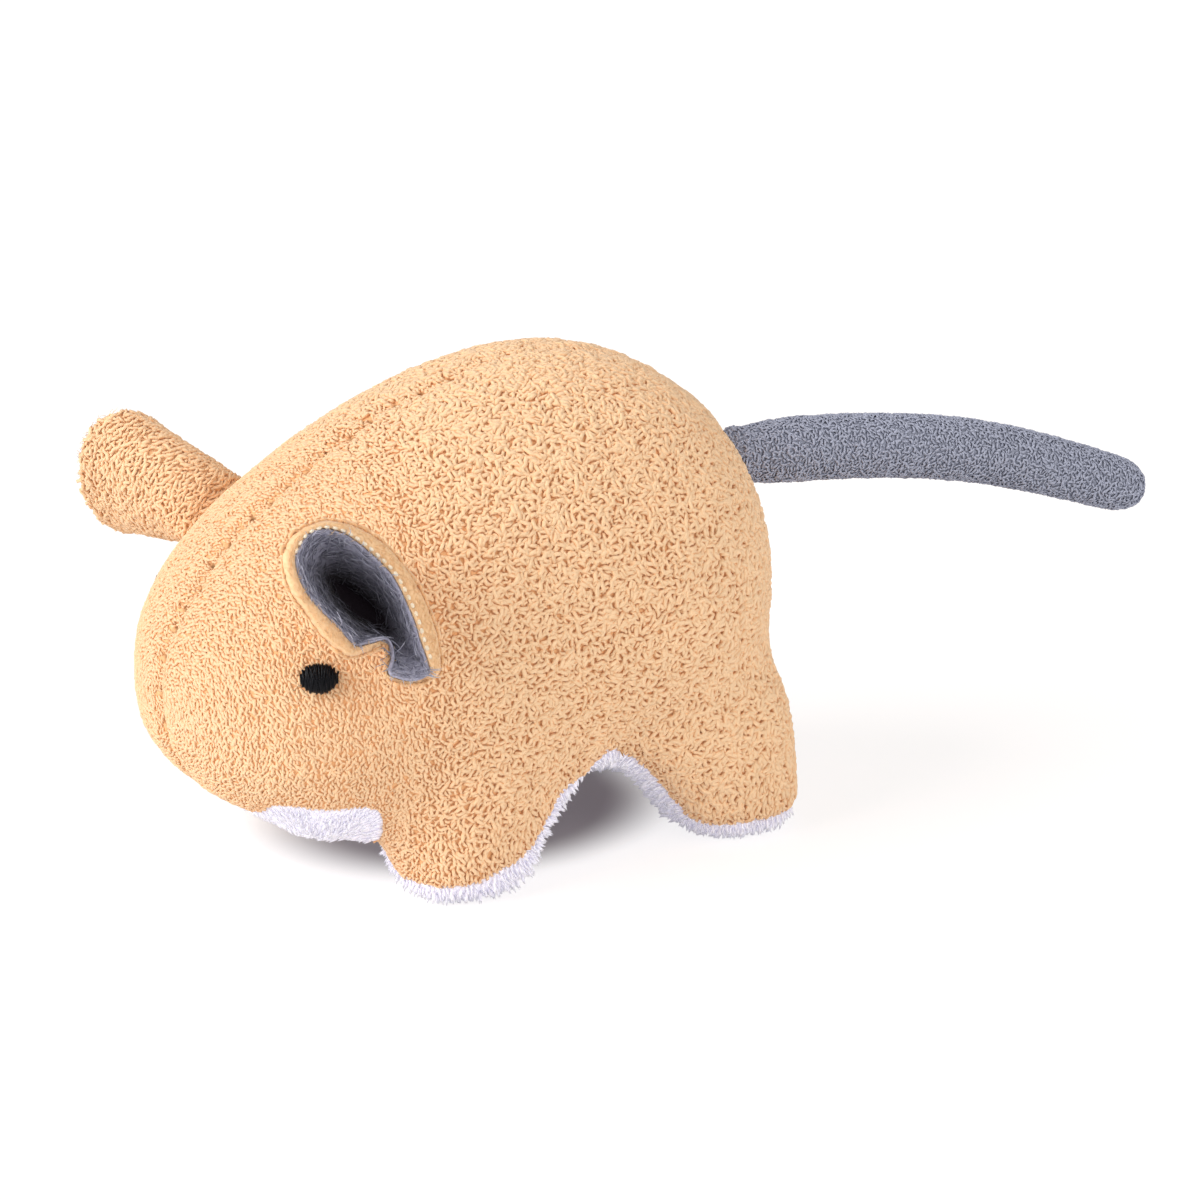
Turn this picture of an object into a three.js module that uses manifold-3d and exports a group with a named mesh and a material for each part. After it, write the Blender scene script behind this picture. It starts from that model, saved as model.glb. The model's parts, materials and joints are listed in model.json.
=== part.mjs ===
import * as THREE from 'three';
import { mergeVertices } from 'three/addons/utils/BufferGeometryUtils.js';
import Module from 'manifold-3d';

const wasm = await Module();
wasm.setup();

// A stuffed terry-cloth mouse. Millimetres, x to the nose, y to its left, z up from the floor

// Body form, from nose tip to rump, with half sizes at the shoulder, middle and haunch
const noseX = 58;
const rumpX = -36.3;
const noseHeight = 29.6;
const rumpHeight = 35.7;
const shoulderHalfWidth = 24.8;
const middleHalfWidth = 28.8;
const haunchHalfWidth = 27;
const shoulderRise = 22.7;
const middleRise = 37.9;
const haunchRise = 31.6;
const shoulderDrop = 20.4;
const middleDrop = 18.5;
const haunchDrop = 14.5;
const backRoundness = 2.25;
const bellyRoundness = 2.6;

// Legs, with the sole cut flat and the hip flaring into the arch between the legs
const frontFoot = new THREE.Vector2(19.5, 17);
const rearFoot = new THREE.Vector2(-26.5, 15.5);
const frontFootRadius = 10.2;
const rearFootRadius = 10;
const footCapHeight = 3.6;
const soleCut = 0.5;
const archHeight = 16.2;
const archFlare = 11;
const hipTurnHeight = 19.5;
const hipTopHeight = 33;
const hipInset = 5;
const frontHipLean = -0.5;
const rearHipLean = -2;
const rearHipShift = 2.5;
const legMiddleX = -4;

// Cloth cover, seams and fits
const coverThickness = 2;
const seatGap = 0.3;
const seamGap = 1;
const threadWidth = 0.4;
const threadDepth = 0.5;
const threadHeight = 1.1;
const bellyChin = new THREE.Vector2(50, 0);
const bellyJaw = new THREE.Vector2(40, 6.5);
const bellyFrontLeg = new THREE.Vector2(28, 12.5);
const bellyArchFront = new THREE.Vector2(10, 22);
const bellyArch = new THREE.Vector2(-4, 23.4);
const bellyRearLeg = new THREE.Vector2(-18, 17.5);
const bellyRump = new THREE.Vector2(-33, 0);
const bellyTop = 30;
const soleStrip = 2.8;

// Stuffing, with the catnip pouch held where the two lumps meet
const lumpSplitX = 22;
const pouchCentreZ = 36;
const pouchHalfLength = 12;
const pouchHalfWidth = 10;
const pouchHalfHeight = 9;

// Embroidered eyes
const eyeX = 43.7;
const eyeZ = 37.6;
const eyeHalfLength = 2.7;
const eyeHalfHeight = 2.3;
const eyeHalfDepth = 1.1;

// Cupped ears, tan outside and lined, each on a rounded sewn keel
const earBaseX = 37;
const earBaseZ = 47.5;
const earRimCentre = new THREE.Vector3(43.2, 34.7, 51.5);
const earRimLong = new THREE.Vector3(7.5, -3.9, 10);
const earRimShort = new THREE.Vector3(7.2, 1.2, -1.8);
const earKeelHalfLength = 4.5;
const earKeelRadius = 2.2;
const earFlare = 0.55;
const earShellThickness = 1.2;
const earLiningThickness = 1;
const earThreadRadius = 0.45;
const shellFloor = 0.16;
const liningFloor = 0.22;

// Stuffed tail on the gathered end that is caught in the back seam
const tailRootZ = 49.5;
const tailTipX = -110.5;
const tailTipZ = 34.5;
const tailRise = 3.4;
const tailRadius = 5;
const tailRootRadius = 3.9;
const tailTipRadius = 4.3;
const tailWall = 1;
const tailStart = 0.4;
const tailSwellLength = 6;
const gatherRadius = 2.6;

// Fineness of the curved faces
const bodyRingCount = 14;
const bodySideCount = 20;
const legSideCount = 12;
const legRingShares = [0, 0.03, 0.08, 0.15, 0.24, 0.34, 0.44, 0.55, 0.7, 0.88];
const bellyStepCount = 16;
const earRingCount = 4;
const earSideCount = 18;
const keelAngles = [60, 35];
const tailRingCount = 9;
const tailSideCount = 10;
const tipAngles = [35, 68];
const domeSideCount = 12;
const domeRingCount = 8;
const farAway = 150;

const tan = new THREE.MeshStandardMaterial({ color: 0xe3b583, roughness: 0.95, metalness: 0 });
const white = new THREE.MeshStandardMaterial({ color: 0xebe9f5, roughness: 0.95, metalness: 0 });
const grey = new THREE.MeshStandardMaterial({ color: 0x8e909e, roughness: 0.95, metalness: 0 });
const black = new THREE.MeshStandardMaterial({ color: 0x161519, roughness: 0.6, metalness: 0 });
const filling = new THREE.MeshStandardMaterial({ color: 0xf2f0ea, roughness: 1, metalness: 0 });
const herb = new THREE.MeshStandardMaterial({ color: 0x7d8a55, roughness: 1, metalness: 0 });
const thread = new THREE.MeshStandardMaterial({ color: 0xd9b489, roughness: 0.8, metalness: 0 });

// Closed skin over a row of rings, with a pole at each end
function loft(startPole, rings, endPole) {
  const sides = rings[0].length;
  const positions = [startPole.x, startPole.y, startPole.z];
  for (const ring of rings) {
    for (const point of ring) positions.push(point.x, point.y, point.z);
  }
  positions.push(endPole.x, endPole.y, endPole.z);
  const last = 1 + rings.length * sides;
  const index = [];
  for (let side = 0; side < sides; side += 1) {
    const next = (side + 1) % sides;
    index.push(0, 1 + next, 1 + side);
    const base = last - sides;
    index.push(last, base + side, base + next);
    for (let row = 0; row < rings.length - 1; row += 1) {
      const low = 1 + row * sides;
      const high = low + sides;
      index.push(low + side, low + next, high + next);
      index.push(low + side, high + next, high + side);
    }
  }
  const geometry = new THREE.BufferGeometry();
  geometry.setAttribute('position', new THREE.Float32BufferAttribute(positions, 3));
  geometry.setIndex(signedVolume(positions, index) < 0 ? index.reverse() : index);
  return geometry;
}

function signedVolume(positions, index) {
  const corner = [new THREE.Vector3(), new THREE.Vector3(), new THREE.Vector3()];
  let sum = 0;
  for (let i = 0; i < index.length; i += 3) {
    for (let j = 0; j < 3; j += 1) corner[j].fromArray(positions, 3 * index[i + j]);
    sum += corner[0].dot(corner[1].clone().cross(corner[2]));
  }
  return sum;
}

function solidOf(geometry) {
  const plain = new THREE.BufferGeometry();
  plain.setAttribute('position', geometry.getAttribute('position').clone());
  if (geometry.index) plain.setIndex(geometry.index.clone());
  const merged = mergeVertices(plain, 1e-5);
  const vertProperties = new Float32Array(merged.getAttribute('position').array);
  const triVerts = new Uint32Array(merged.index.array);
  return new wasm.Manifold(new wasm.Mesh({ numProp: 3, vertProperties, triVerts }));
}

function geometryOf(solid) {
  const mesh = solid.getMesh();
  const geometry = new THREE.BufferGeometry();
  geometry.setAttribute('position', new THREE.BufferAttribute(new Float32Array(mesh.vertProperties), 3));
  geometry.setIndex(new THREE.BufferAttribute(new Uint32Array(mesh.triVerts), 1));
  return geometry;
}

// All space between two planes square to one axis
function slab(axis, low, high) {
  const size = new THREE.Vector3(2 * farAway, 2 * farAway, 2 * farAway);
  const centre = new THREE.Vector3();
  size[axis] = high - low;
  centre[axis] = (low + high) / 2;
  const geometry = new THREE.BoxGeometry(size.x, size.y, size.z);
  geometry.translate(centre.x, centre.y, centre.z);
  return solidOf(geometry);
}

// Oval dome, merged into one closed skin
function oval(halfX, halfY, halfZ) {
  const geometry = new THREE.SphereGeometry(1, domeSideCount, domeRingCount);
  geometry.scale(halfX, halfY, halfZ);
  return mergeVertices(geometry.deleteAttribute('normal').deleteAttribute('uv'), 1e-5);
}

// Half size along the body, eased through the three driving sizes
function along(cosine, front, middle, rear) {
  const diagonal = Math.SQRT1_2;
  const slope = (front - rear) / (2 * diagonal * diagonal);
  const bend = ((front + rear) / (2 * diagonal) - middle) / (diagonal * diagonal);
  return middle + slope * cosine + bend * cosine * cosine;
}

function power(value, roundness) {
  return Math.sign(value) * Math.abs(value) ** (2 / roundness);
}

function bodyStation(turn, inset) {
  const cosine = Math.cos(turn);
  const sine = Math.sin(turn);
  return {
    x: (noseX + rumpX) / 2 + ((noseX - rumpX) / 2 - inset) * cosine,
    z: (noseHeight + rumpHeight) / 2 + (noseHeight - rumpHeight) / 2 * cosine,
    width: sine * (along(cosine, shoulderHalfWidth, middleHalfWidth, haunchHalfWidth) - inset),
    rise: sine * (along(cosine, shoulderRise, middleRise, haunchRise) - inset),
    drop: sine * (along(cosine, shoulderDrop, middleDrop, haunchDrop) - inset),
  };
}

function bodyPoint(turn, lap, inset) {
  const station = bodyStation(turn, inset);
  const up = Math.sin(lap) > 0;
  const roundness = up ? backRoundness : bellyRoundness;
  const y = station.width * power(Math.cos(lap), roundness);
  const z = station.z + (up ? station.rise : station.drop) * power(Math.sin(lap), roundness);
  return new THREE.Vector3(station.x, y, z);
}

function bodyLump(inset) {
  const rings = [];
  for (let row = 1; row < bodyRingCount; row += 1) {
    const ring = [];
    for (let side = 0; side < bodySideCount; side += 1) {
      const lap = (side / bodySideCount) * 2 * Math.PI;
      ring.push(bodyPoint((row / bodyRingCount) * Math.PI, lap, inset));
    }
    rings.push(ring);
  }
  const nose = new THREE.Vector3(noseX - inset, 0, noseHeight);
  const rump = new THREE.Vector3(rumpX + inset, 0, rumpHeight);
  return solidOf(loft(nose, rings, rump));
}

// Point of the body's left side at a given length and height, with its outward normal
function sideOfBody(x, z) {
  const turn = Math.acos((x - (noseX + rumpX) / 2) / ((noseX - rumpX) / 2));
  const station = bodyStation(turn, 0);
  const up = z > station.z;
  const roundness = up ? backRoundness : bellyRoundness;
  const share = Math.abs(z - station.z) / (up ? station.rise : station.drop);
  const lap = Math.asin(share ** (roundness / 2)) * (up ? 1 : -1);
  const step = 0.01;
  const point = bodyPoint(turn, lap, 0);
  const back = bodyPoint(turn + step, lap, 0).sub(bodyPoint(turn - step, lap, 0));
  const round = bodyPoint(turn, lap + step, 0).sub(bodyPoint(turn, lap - step, 0));
  return { point, normal: back.cross(round).normalize() };
}

// One leg, a rounded foot that swells into the hip on the arch side
const frontLeg = { foot: frontFoot, radius: frontFootRadius, archSide: -1, lean: frontHipLean, shift: 0 };
const rearLeg = {
  foot: rearFoot, radius: rearFootRadius, archSide: 1, lean: rearHipLean, shift: rearHipShift,
};

function legLump(leg, side, inset) {
  const rings = legRingShares.map((share) => {
    const height = inset + (hipTopHeight - 2 * inset) * share;
    const cap = Math.max(0, (footCapHeight - soleCut - height) / footCapHeight);
    const lift = Math.min(height, archHeight) / archHeight;
    const reach = Math.min(height, hipTurnHeight) / archHeight;
    const over = Math.max(0, (height - hipTurnHeight) / (hipTopHeight - hipTurnHeight));
    const shrink = Math.sqrt(1 - over * over);
    const plain = leg.radius * Math.sqrt(1 - cap * cap);
    const wide = plain * shrink - inset;
    const centreX = leg.foot.x + leg.shift * reach;
    const centreY = leg.foot.y - leg.lean * lift - hipInset * over;
    const ring = [];
    for (let step = 0; step < legSideCount; step += 1) {
      const lap = (step / legSideCount) * 2 * Math.PI;
      const ahead = power(Math.cos(lap), bellyRoundness);
      const flare = ahead * leg.archSide > 0 ? archFlare * reach * reach : 0;
      const x = centreX + ((plain + flare) * shrink - inset) * ahead;
      const y = centreY + wide * power(Math.sin(lap), bellyRoundness);
      ring.push(new THREE.Vector3(x, side * y, height));
    }
    return ring;
  });
  const topX = leg.foot.x + leg.shift;
  const top = new THREE.Vector3(topX, side * (leg.foot.y - leg.lean - hipInset), hipTopHeight - inset);
  return solidOf(loft(new THREE.Vector3(leg.foot.x, side * leg.foot.y, inset), rings, top));
}

function mouseForm(inset) {
  let form = bodyLump(inset);
  for (const side of [1, -1]) {
    form = form.add(legLump(frontLeg, side, inset)).add(legLump(rearLeg, side, inset));
  }
  return form;
}

// Space under the belly seam: a long leaf from chin to rump, and the strip round the soles
function bellyZone(grow) {
  const stops = [bellyChin, bellyJaw, bellyFrontLeg, bellyArchFront, bellyArch, bellyRearLeg, bellyRump];
  const edge = new THREE.SplineCurve(stops);
  const left = [];
  const right = [];
  for (let step = 1; step < bellyStepCount; step += 1) {
    const point = edge.getPoint(step / bellyStepCount);
    const run = edge.getTangent(step / bellyStepCount);
    const x = point.x + grow * run.y;
    const y = Math.max(0.01, point.y - grow * run.x);
    left.push(new THREE.Vector2(x, y));
    right.unshift(new THREE.Vector2(x, -y));
  }
  const chin = new THREE.Vector2(bellyChin.x + 2 * grow, 0);
  const rump = new THREE.Vector2(bellyRump.x - 2 * grow, 0);
  const leaf = new THREE.Shape([chin, ...left, rump, ...right]);
  const prism = new THREE.ExtrudeGeometry(leaf, { depth: bellyTop + farAway, bevelEnabled: false });
  prism.translate(0, 0, -farAway);
  return solidOf(prism).add(slab('z', -farAway, soleStrip + grow));
}

const mouse = new THREE.Group();
mouse.name = 'catnip_mouse';

function addPart(name, shape, material) {
  const geometry = shape.isBufferGeometry ? shape : geometryOf(shape);
  const mesh = new THREE.Mesh(geometry, material);
  mesh.name = name;
  mouse.add(mesh);
}

function mirrored(geometry) {
  const copy = geometry.clone();
  copy.scale(1, -1, 1);
  copy.setIndex(Array.from(copy.index.array).reverse());
  return copy;
}

// Eyes, an oval dome sewn into each side panel
function eyeDome(grow) {
  const seat = sideOfBody(eyeX, eyeZ);
  const dome = oval(eyeHalfDepth + grow, eyeHalfLength + grow, eyeHalfHeight + grow);
  const out = seat.normal;
  const level = new THREE.Vector3(0, 0, 1).cross(out).normalize();
  const up = out.clone().cross(level);
  dome.applyMatrix4(new THREE.Matrix4().makeBasis(out, level, up));
  dome.translate(seat.point.x, seat.point.y, seat.point.z);
  return dome;
}

const eyeGeometry = eyeDome(0);
const eyePocket = eyeDome(seatGap);

// Cover panels, seam threads and stuffing
const cover = mouseForm(0).subtract(mouseForm(coverThickness));
const bellySide = bellyZone(seamGap / 2);
const sides = cover.subtract(bellySide);
const leftHalf = slab('y', seamGap / 2, farAway);
const rightHalf = slab('y', -farAway, -seamGap / 2);
addPart('left_side_panel', sides.intersect(leftHalf).subtract(solidOf(eyePocket)), tan);
addPart('right_side_panel', sides.intersect(rightHalf).subtract(solidOf(mirrored(eyePocket))), tan);
addPart('belly_panel', cover.intersect(bellyZone(-seamGap / 2)), white);

const threadLayer = mouseForm(threadDepth).subtract(mouseForm(threadDepth + threadHeight));
const midStrip = slab('y', -threadWidth / 2, threadWidth / 2);
addPart('back_seam_thread', threadLayer.intersect(midStrip).subtract(bellySide), thread);
const bellyCurtain = bellyZone(threadWidth / 2).subtract(bellyZone(-threadWidth / 2));
addPart('belly_seam_thread', threadLayer.intersect(bellyCurtain), thread);

const stuffingInset = coverThickness + seatGap;
function pouchShape(grow) {
  const shape = oval(pouchHalfLength + grow, pouchHalfWidth + grow, pouchHalfHeight + grow);
  return shape.translate(lumpSplitX, 0, pouchCentreZ);
}

const lump = bodyLump(stuffingInset).subtract(solidOf(pouchShape(seatGap)));
addPart('head_stuffing', lump.intersect(slab('x', lumpSplitX + seatGap / 2, farAway)), filling);
addPart('body_stuffing', lump.intersect(slab('x', -farAway, lumpSplitX - seatGap / 2)), filling);
addPart('catnip_pouch', pouchShape(0), herb);

const lumpSeat = bodyLump(stuffingInset - seatGap);
const frontSpace = slab('x', legMiddleX + seatGap / 2, farAway);
const rearSpace = slab('x', -farAway, legMiddleX - seatGap / 2);
for (const [word, side] of [['left', 1], ['right', -1]]) {
  const front = legLump(frontLeg, side, stuffingInset);
  const rear = legLump(rearLeg, side, stuffingInset);
  addPart(`front_${word}_leg_stuffing`, front.subtract(lumpSeat).intersect(frontSpace), filling);
  addPart(`rear_${word}_leg_stuffing`, rear.subtract(lumpSeat).intersect(rearSpace), filling);
}

addPart('left_eye', eyeGeometry, black);
addPart('right_eye', mirrored(eyeGeometry), black);

// Ears, a keel that turns on its own line and a cup that opens outwards
const earSeat = sideOfBody(earBaseX, earBaseZ);
const earPivot = earSeat.point.clone().addScaledVector(earSeat.normal, earKeelRadius + seatGap);
const earTilt = earRimLong.dot(earSeat.normal);
const earLine = earRimLong.clone().addScaledVector(earSeat.normal, -earTilt).normalize();
const earAcross = earLine.clone().cross(earSeat.normal);
if (earAcross.dot(earRimShort) < 0) earAcross.negate();
const earOut = earRimLong.clone().cross(earRimShort).normalize();
if (earOut.y < 0) earOut.negate();

function earRing(rise, inset) {
  const share = rise ** earFlare;
  const centre = earPivot.clone().lerp(earRimCentre, rise);
  const long = earLine.clone().multiplyScalar(earKeelHalfLength).lerp(earRimLong, share);
  const short = earAcross.clone().multiplyScalar(earKeelRadius).lerp(earRimShort, share);
  long.setLength(long.length() - inset);
  short.setLength(short.length() - inset);
  const ring = [];
  for (let side = 0; side < earSideCount; side += 1) {
    const lap = (side / earSideCount) * 2 * Math.PI;
    ring.push(centre.clone().addScaledVector(long, Math.cos(lap)).addScaledVector(short, Math.sin(lap)));
  }
  return ring;
}

function keelRings() {
  const rings = [];
  for (const turn of keelAngles) {
    const angle = THREE.MathUtils.degToRad(turn);
    const ring = [];
    for (let side = 0; side < earSideCount; side += 1) {
      const lap = (side / earSideCount) * 2 * Math.PI;
      const point = earPivot.clone().addScaledVector(earSeat.normal, -earKeelRadius * Math.sin(angle));
      point.addScaledVector(earLine, earKeelHalfLength * Math.cos(angle) * Math.cos(lap));
      point.addScaledVector(earAcross, earKeelRadius * Math.cos(angle) * Math.sin(lap));
      ring.push(point);
    }
    rings.push(ring);
  }
  return rings;
}

function cupWall(outerInset, innerInset, outerFloor, innerFloor) {
  const up = [];
  const down = [];
  for (let row = 0; row <= earRingCount; row += 1) {
    const share = row / earRingCount;
    up.push(earRing(outerFloor + (1 - outerFloor) * share, outerInset));
    down.unshift(earRing(innerFloor + (1 - innerFloor) * share, innerInset));
  }
  return { up, down };
}

function earAxisPoint(rise) {
  return earPivot.clone().lerp(earRimCentre, rise);
}

const liningInset = earShellThickness + seatGap;
const hollowFloor = liningFloor + earLiningThickness / earPivot.distanceTo(earRimCentre);
const shellWall = cupWall(0, earShellThickness, 0, shellFloor);
const keelPole = earPivot.clone().addScaledVector(earSeat.normal, -earKeelRadius);
const shellRows = [...keelRings(), ...shellWall.up, ...shellWall.down];
const earShell = loft(keelPole, shellRows, earAxisPoint(shellFloor));
const liningWall = cupWall(liningInset, liningInset + earLiningThickness, liningFloor, hollowFloor);
const liningRows = [...liningWall.up, ...liningWall.down];
const earLining = loft(earAxisPoint(liningFloor), liningRows, earAxisPoint(hollowFloor));
const rimLine = earRing(1, earShellThickness + seatGap / 2);
for (const point of rimLine) point.addScaledVector(earOut, seatGap + earThreadRadius);
const rimPath = new THREE.CatmullRomCurve3(rimLine, true);
const rimTube = new THREE.TubeGeometry(rimPath, 2 * earSideCount, earThreadRadius, 4, true);
const earThread = mergeVertices(rimTube.deleteAttribute('normal').deleteAttribute('uv'), 1e-4);

addPart('left_ear_shell', earShell, tan);
addPart('right_ear_shell', mirrored(earShell), tan);
addPart('left_ear_lining', earLining, grey);
addPart('right_ear_lining', mirrored(earLining), grey);
addPart('left_ear_rim_stitch', earThread, thread);
addPart('right_ear_rim_stitch', mirrored(earThread), thread);

// Tail, a sleeve over its own stuffing, turning on the gathered end at the rump
function rumpPoint(height) {
  let low = Math.PI / 2;
  let high = Math.PI;
  for (let pass = 0; pass < 40; pass += 1) {
    const turn = (low + high) / 2;
    if (bodyPoint(turn, Math.PI / 2, 0).z > height) low = turn;
    else high = turn;
  }
  const step = 0.01;
  const run = bodyPoint(low + step, Math.PI / 2, 0).sub(bodyPoint(low - step, Math.PI / 2, 0));
  const normal = new THREE.Vector3(run.z, 0, -run.x).normalize();
  return { point: bodyPoint(low, Math.PI / 2, 0), normal };
}

const tailSeat = rumpPoint(tailRootZ);
const tailPivot = tailSeat.point.clone().addScaledVector(tailSeat.normal, gatherRadius + seatGap);
const tailTip = new THREE.Vector3(tailTipX, 0, tailTipZ);
const tailBend = tailPivot.clone().lerp(tailTip, 0.5);
tailBend.z += 2 * tailRise;
const tailCurve = new THREE.QuadraticBezierCurve3(tailPivot, tailBend, tailTip);
const tailLength = tailCurve.getLength();

function tailOuter(run) {
  const swell = Math.min(1, (run - tailStart) / tailSwellLength);
  const eased = swell * swell * (3 - 2 * swell);
  const full = tailRootRadius + (tailRadius - tailRootRadius) * eased;
  const late = Math.max(0, run / tailLength - 0.5) * 2;
  return full + (tailTipRadius - tailRadius) * late * late;
}

function tailRing(run, radius) {
  const centre = tailCurve.getPointAt(Math.min(1, run / tailLength));
  const ahead = tailCurve.getTangentAt(Math.min(1, run / tailLength));
  const across = new THREE.Vector3(0, 1, 0);
  const up = ahead.clone().cross(across);
  const ring = [];
  for (let side = 0; side < tailSideCount; side += 1) {
    const lap = (side / tailSideCount) * 2 * Math.PI;
    const point = centre.clone().addScaledVector(across, radius * Math.cos(lap));
    ring.push(point.addScaledVector(up, radius * Math.sin(lap)));
  }
  return ring;
}

// Rows of a round-ended tube lying a given depth inside the tail's outer face
function tailRows(depth, start) {
  const rows = [];
  const end = tailLength - tailTipRadius;
  for (let row = 0; row <= tailRingCount; row += 1) {
    const run = start + (end - start) * (row / tailRingCount);
    rows.push(tailRing(run, tailOuter(run) - depth));
  }
  for (const turn of tipAngles) {
    const angle = THREE.MathUtils.degToRad(turn);
    const reach = tailTipRadius - depth;
    rows.push(tailRing(end + reach * Math.sin(angle), reach * Math.cos(angle)));
  }
  return rows;
}

function tailPole(depth) {
  return tailCurve.getPointAt((tailLength - depth) / tailLength);
}

const tailSleeveRows = [...tailRows(tailWall, tailStart).reverse(), ...tailRows(0, tailStart)];
addPart('tail_sleeve', loft(tailPole(tailWall), tailSleeveRows, tailPole(0)), grey);
const tailFillStart = gatherRadius + 3 * seatGap;
const tailFillRows = tailRows(tailWall + seatGap, tailFillStart);
const tailFillPole = tailCurve.getPointAt(tailFillStart / tailLength);
addPart('tail_stuffing', loft(tailFillPole, tailFillRows, tailPole(tailWall + seatGap)), filling);
const gather = oval(gatherRadius, gatherRadius, gatherRadius);
gather.translate(tailPivot.x, tailPivot.y, tailPivot.z);
addPart('tail_root_gather', gather, grey);

// The origin lies on the floor under the middle of the whole mouse
const bounds = new THREE.Box3().setFromObject(mouse);
mouse.position.x = -(bounds.min.x + bounds.max.x) / 2;

export default mouse;
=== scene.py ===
import json
import math

import bpy
import bmesh
import numpy as np
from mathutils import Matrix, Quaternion, Vector
from mathutils.bvhtree import BVHTree


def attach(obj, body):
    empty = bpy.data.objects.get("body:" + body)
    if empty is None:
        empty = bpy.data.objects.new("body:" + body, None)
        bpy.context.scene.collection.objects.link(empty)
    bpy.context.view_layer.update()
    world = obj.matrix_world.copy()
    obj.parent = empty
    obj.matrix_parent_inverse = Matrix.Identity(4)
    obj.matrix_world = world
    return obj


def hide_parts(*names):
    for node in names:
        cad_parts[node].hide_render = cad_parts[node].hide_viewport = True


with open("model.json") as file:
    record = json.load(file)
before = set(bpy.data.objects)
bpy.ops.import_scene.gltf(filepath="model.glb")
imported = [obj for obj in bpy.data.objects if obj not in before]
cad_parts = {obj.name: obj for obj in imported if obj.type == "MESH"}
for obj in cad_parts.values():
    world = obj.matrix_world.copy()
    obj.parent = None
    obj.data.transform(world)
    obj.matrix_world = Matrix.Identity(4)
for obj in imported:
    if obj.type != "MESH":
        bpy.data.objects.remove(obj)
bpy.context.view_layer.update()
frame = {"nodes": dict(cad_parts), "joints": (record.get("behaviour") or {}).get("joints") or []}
scene = bpy.context.scene
mm = 0.001
middle = Vector((26.42, 0, 0)) * mm  # the mouse's own middle, seen from the frame's origin
joints = {joint["name"]: joint for joint in frame["joints"]}
mergeGap = 0.002 * mm
floorGap = {"cloth": 0.15 * mm, "pile": 0.05 * mm}  # how far each stays off the floor


# helpers for meshes

# screen colour to linear light
def linear(red, green, blue):
    steps = [value / 255 for value in (red, green, blue)]
    curve = [s / 12.92 if s <= 0.04045 else ((s + 0.055) / 1.055) ** 2.4 for s in steps]
    return (*curve, 1)


def ramp(value, low, high):
    share = np.clip((value - low) / (high - low), 0, 1)
    return share * share * (3 - 2 * share)


def rising(value, least, more, low, high):
    return least + more * ramp(value, low, high)


# millimetres ahead of the mouse's own middle
def alongBody(places):
    return (places[:, 0] - middle.x) / mm


def pointsOf(mesh):
    flat = np.empty(len(mesh.vertices) * 3, np.float32)
    mesh.vertices.foreach_get("co", flat)
    return flat.reshape(-1, 3).astype(float)


def setPoints(mesh, points):
    mesh.vertices.foreach_set("co", points.astype(np.float32).ravel())
    mesh.update()


# what meets the floor lies flat on it
def layOnFloor(mesh, height):
    points = pointsOf(mesh)
    points[:, 2] = np.maximum(points[:, 2], height)
    setPoints(mesh, points)


def normalsOf(mesh):
    flat = np.empty(len(mesh.vertices) * 3, np.float32)
    mesh.vertex_normals.foreach_get("vector", flat)
    return flat.reshape(-1, 3).astype(float)


def edgesOf(mesh):
    flat = np.empty(len(mesh.edges) * 2, np.int32)
    mesh.edges.foreach_get("vertices", flat)
    return flat.reshape(-1, 2)


def facesOf(mesh):
    return [list(face.vertices) for face in mesh.polygons]


def newNumbers(used):
    return {int(old): new for new, old in enumerate(used)}


def addObject(name, mesh):
    item = bpy.data.objects.new(name, mesh)
    scene.collection.objects.link(item)
    return item


def meshFrom(name, points, faces):
    mesh = bpy.data.meshes.new(name)
    mesh.from_pydata([tuple(p) for p in points], [], faces, shade_flat=False)
    mesh.update()
    return mesh


def evaluatedMesh(item):
    graph = bpy.context.evaluated_depsgraph_get()
    return bpy.data.meshes.new_from_object(item.evaluated_get(graph), depsgraph=graph)


def dropObject(item):
    mesh = item.data
    bpy.data.objects.remove(item)
    if mesh.users == 0:
        bpy.data.meshes.remove(mesh)


def setValues(mesh, name, values):
    kind, field = ("FLOAT_VECTOR", "vector") if np.ndim(values) == 2 else ("FLOAT", "value")
    layer = mesh.attributes.new(name, kind, "POINT")
    layer.data.foreach_set(field, np.asarray(values, np.float32).ravel())


# what the pile reads from its bed: the way it lies, how far it strays from that, and its size
def setPile(mesh, flow, mess, size):
    count = len(mesh.vertices)
    setValues(mesh, "flow", np.broadcast_to(np.asarray(flow, float), (count, 3)))
    setValues(mesh, "mess", np.broadcast_to(mess, count))
    setValues(mesh, "size", np.broadcast_to(size, count))


def printArea(item):
    area = sum(face.area for face in item.data.polygons) / mm ** 2
    print(item.name, round(area), "square mm on both faces")


def mergedNode(name):
    work = bmesh.new()
    work.from_mesh(frame["nodes"][name].data)
    bmesh.ops.remove_doubles(work, verts=work.verts, dist=mergeGap)
    work.normal_update()
    return work


def neighbourMean(points, edges):
    count = len(points)
    first, second = edges[:, 0], edges[:, 1]
    degree = np.bincount(first, minlength=count) + np.bincount(second, minlength=count)
    total = np.empty_like(points)
    for axis in range(3):
        total[:, axis] = np.bincount(first, points[second, axis], count)
        total[:, axis] += np.bincount(second, points[first, axis], count)
    return total / np.maximum(degree, 1)[:, None]


def relax(points, edges, rounds):
    for _ in range(rounds):
        points = points + (neighbourMean(points, edges) - points) / 2
    return points


def capped(moved, limit):
    size = np.linalg.norm(moved, axis=1, keepdims=True)
    return moved * (limit / np.maximum(size, limit))


# faces of closed rings between two poles
def ringFaces(count, rings):
    last = 1 + count * rings
    faces = []
    for step in range(count):
        after = (step + 1) % count
        faces.append([0, 1 + after, 1 + step])
        for ring in range(rings - 1):
            low = 1 + ring * count
            faces.append([low + step, low + after, low + count + after, low + count + step])
        faces.append([last, last - count + step, last - count + after])
    return faces


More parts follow.
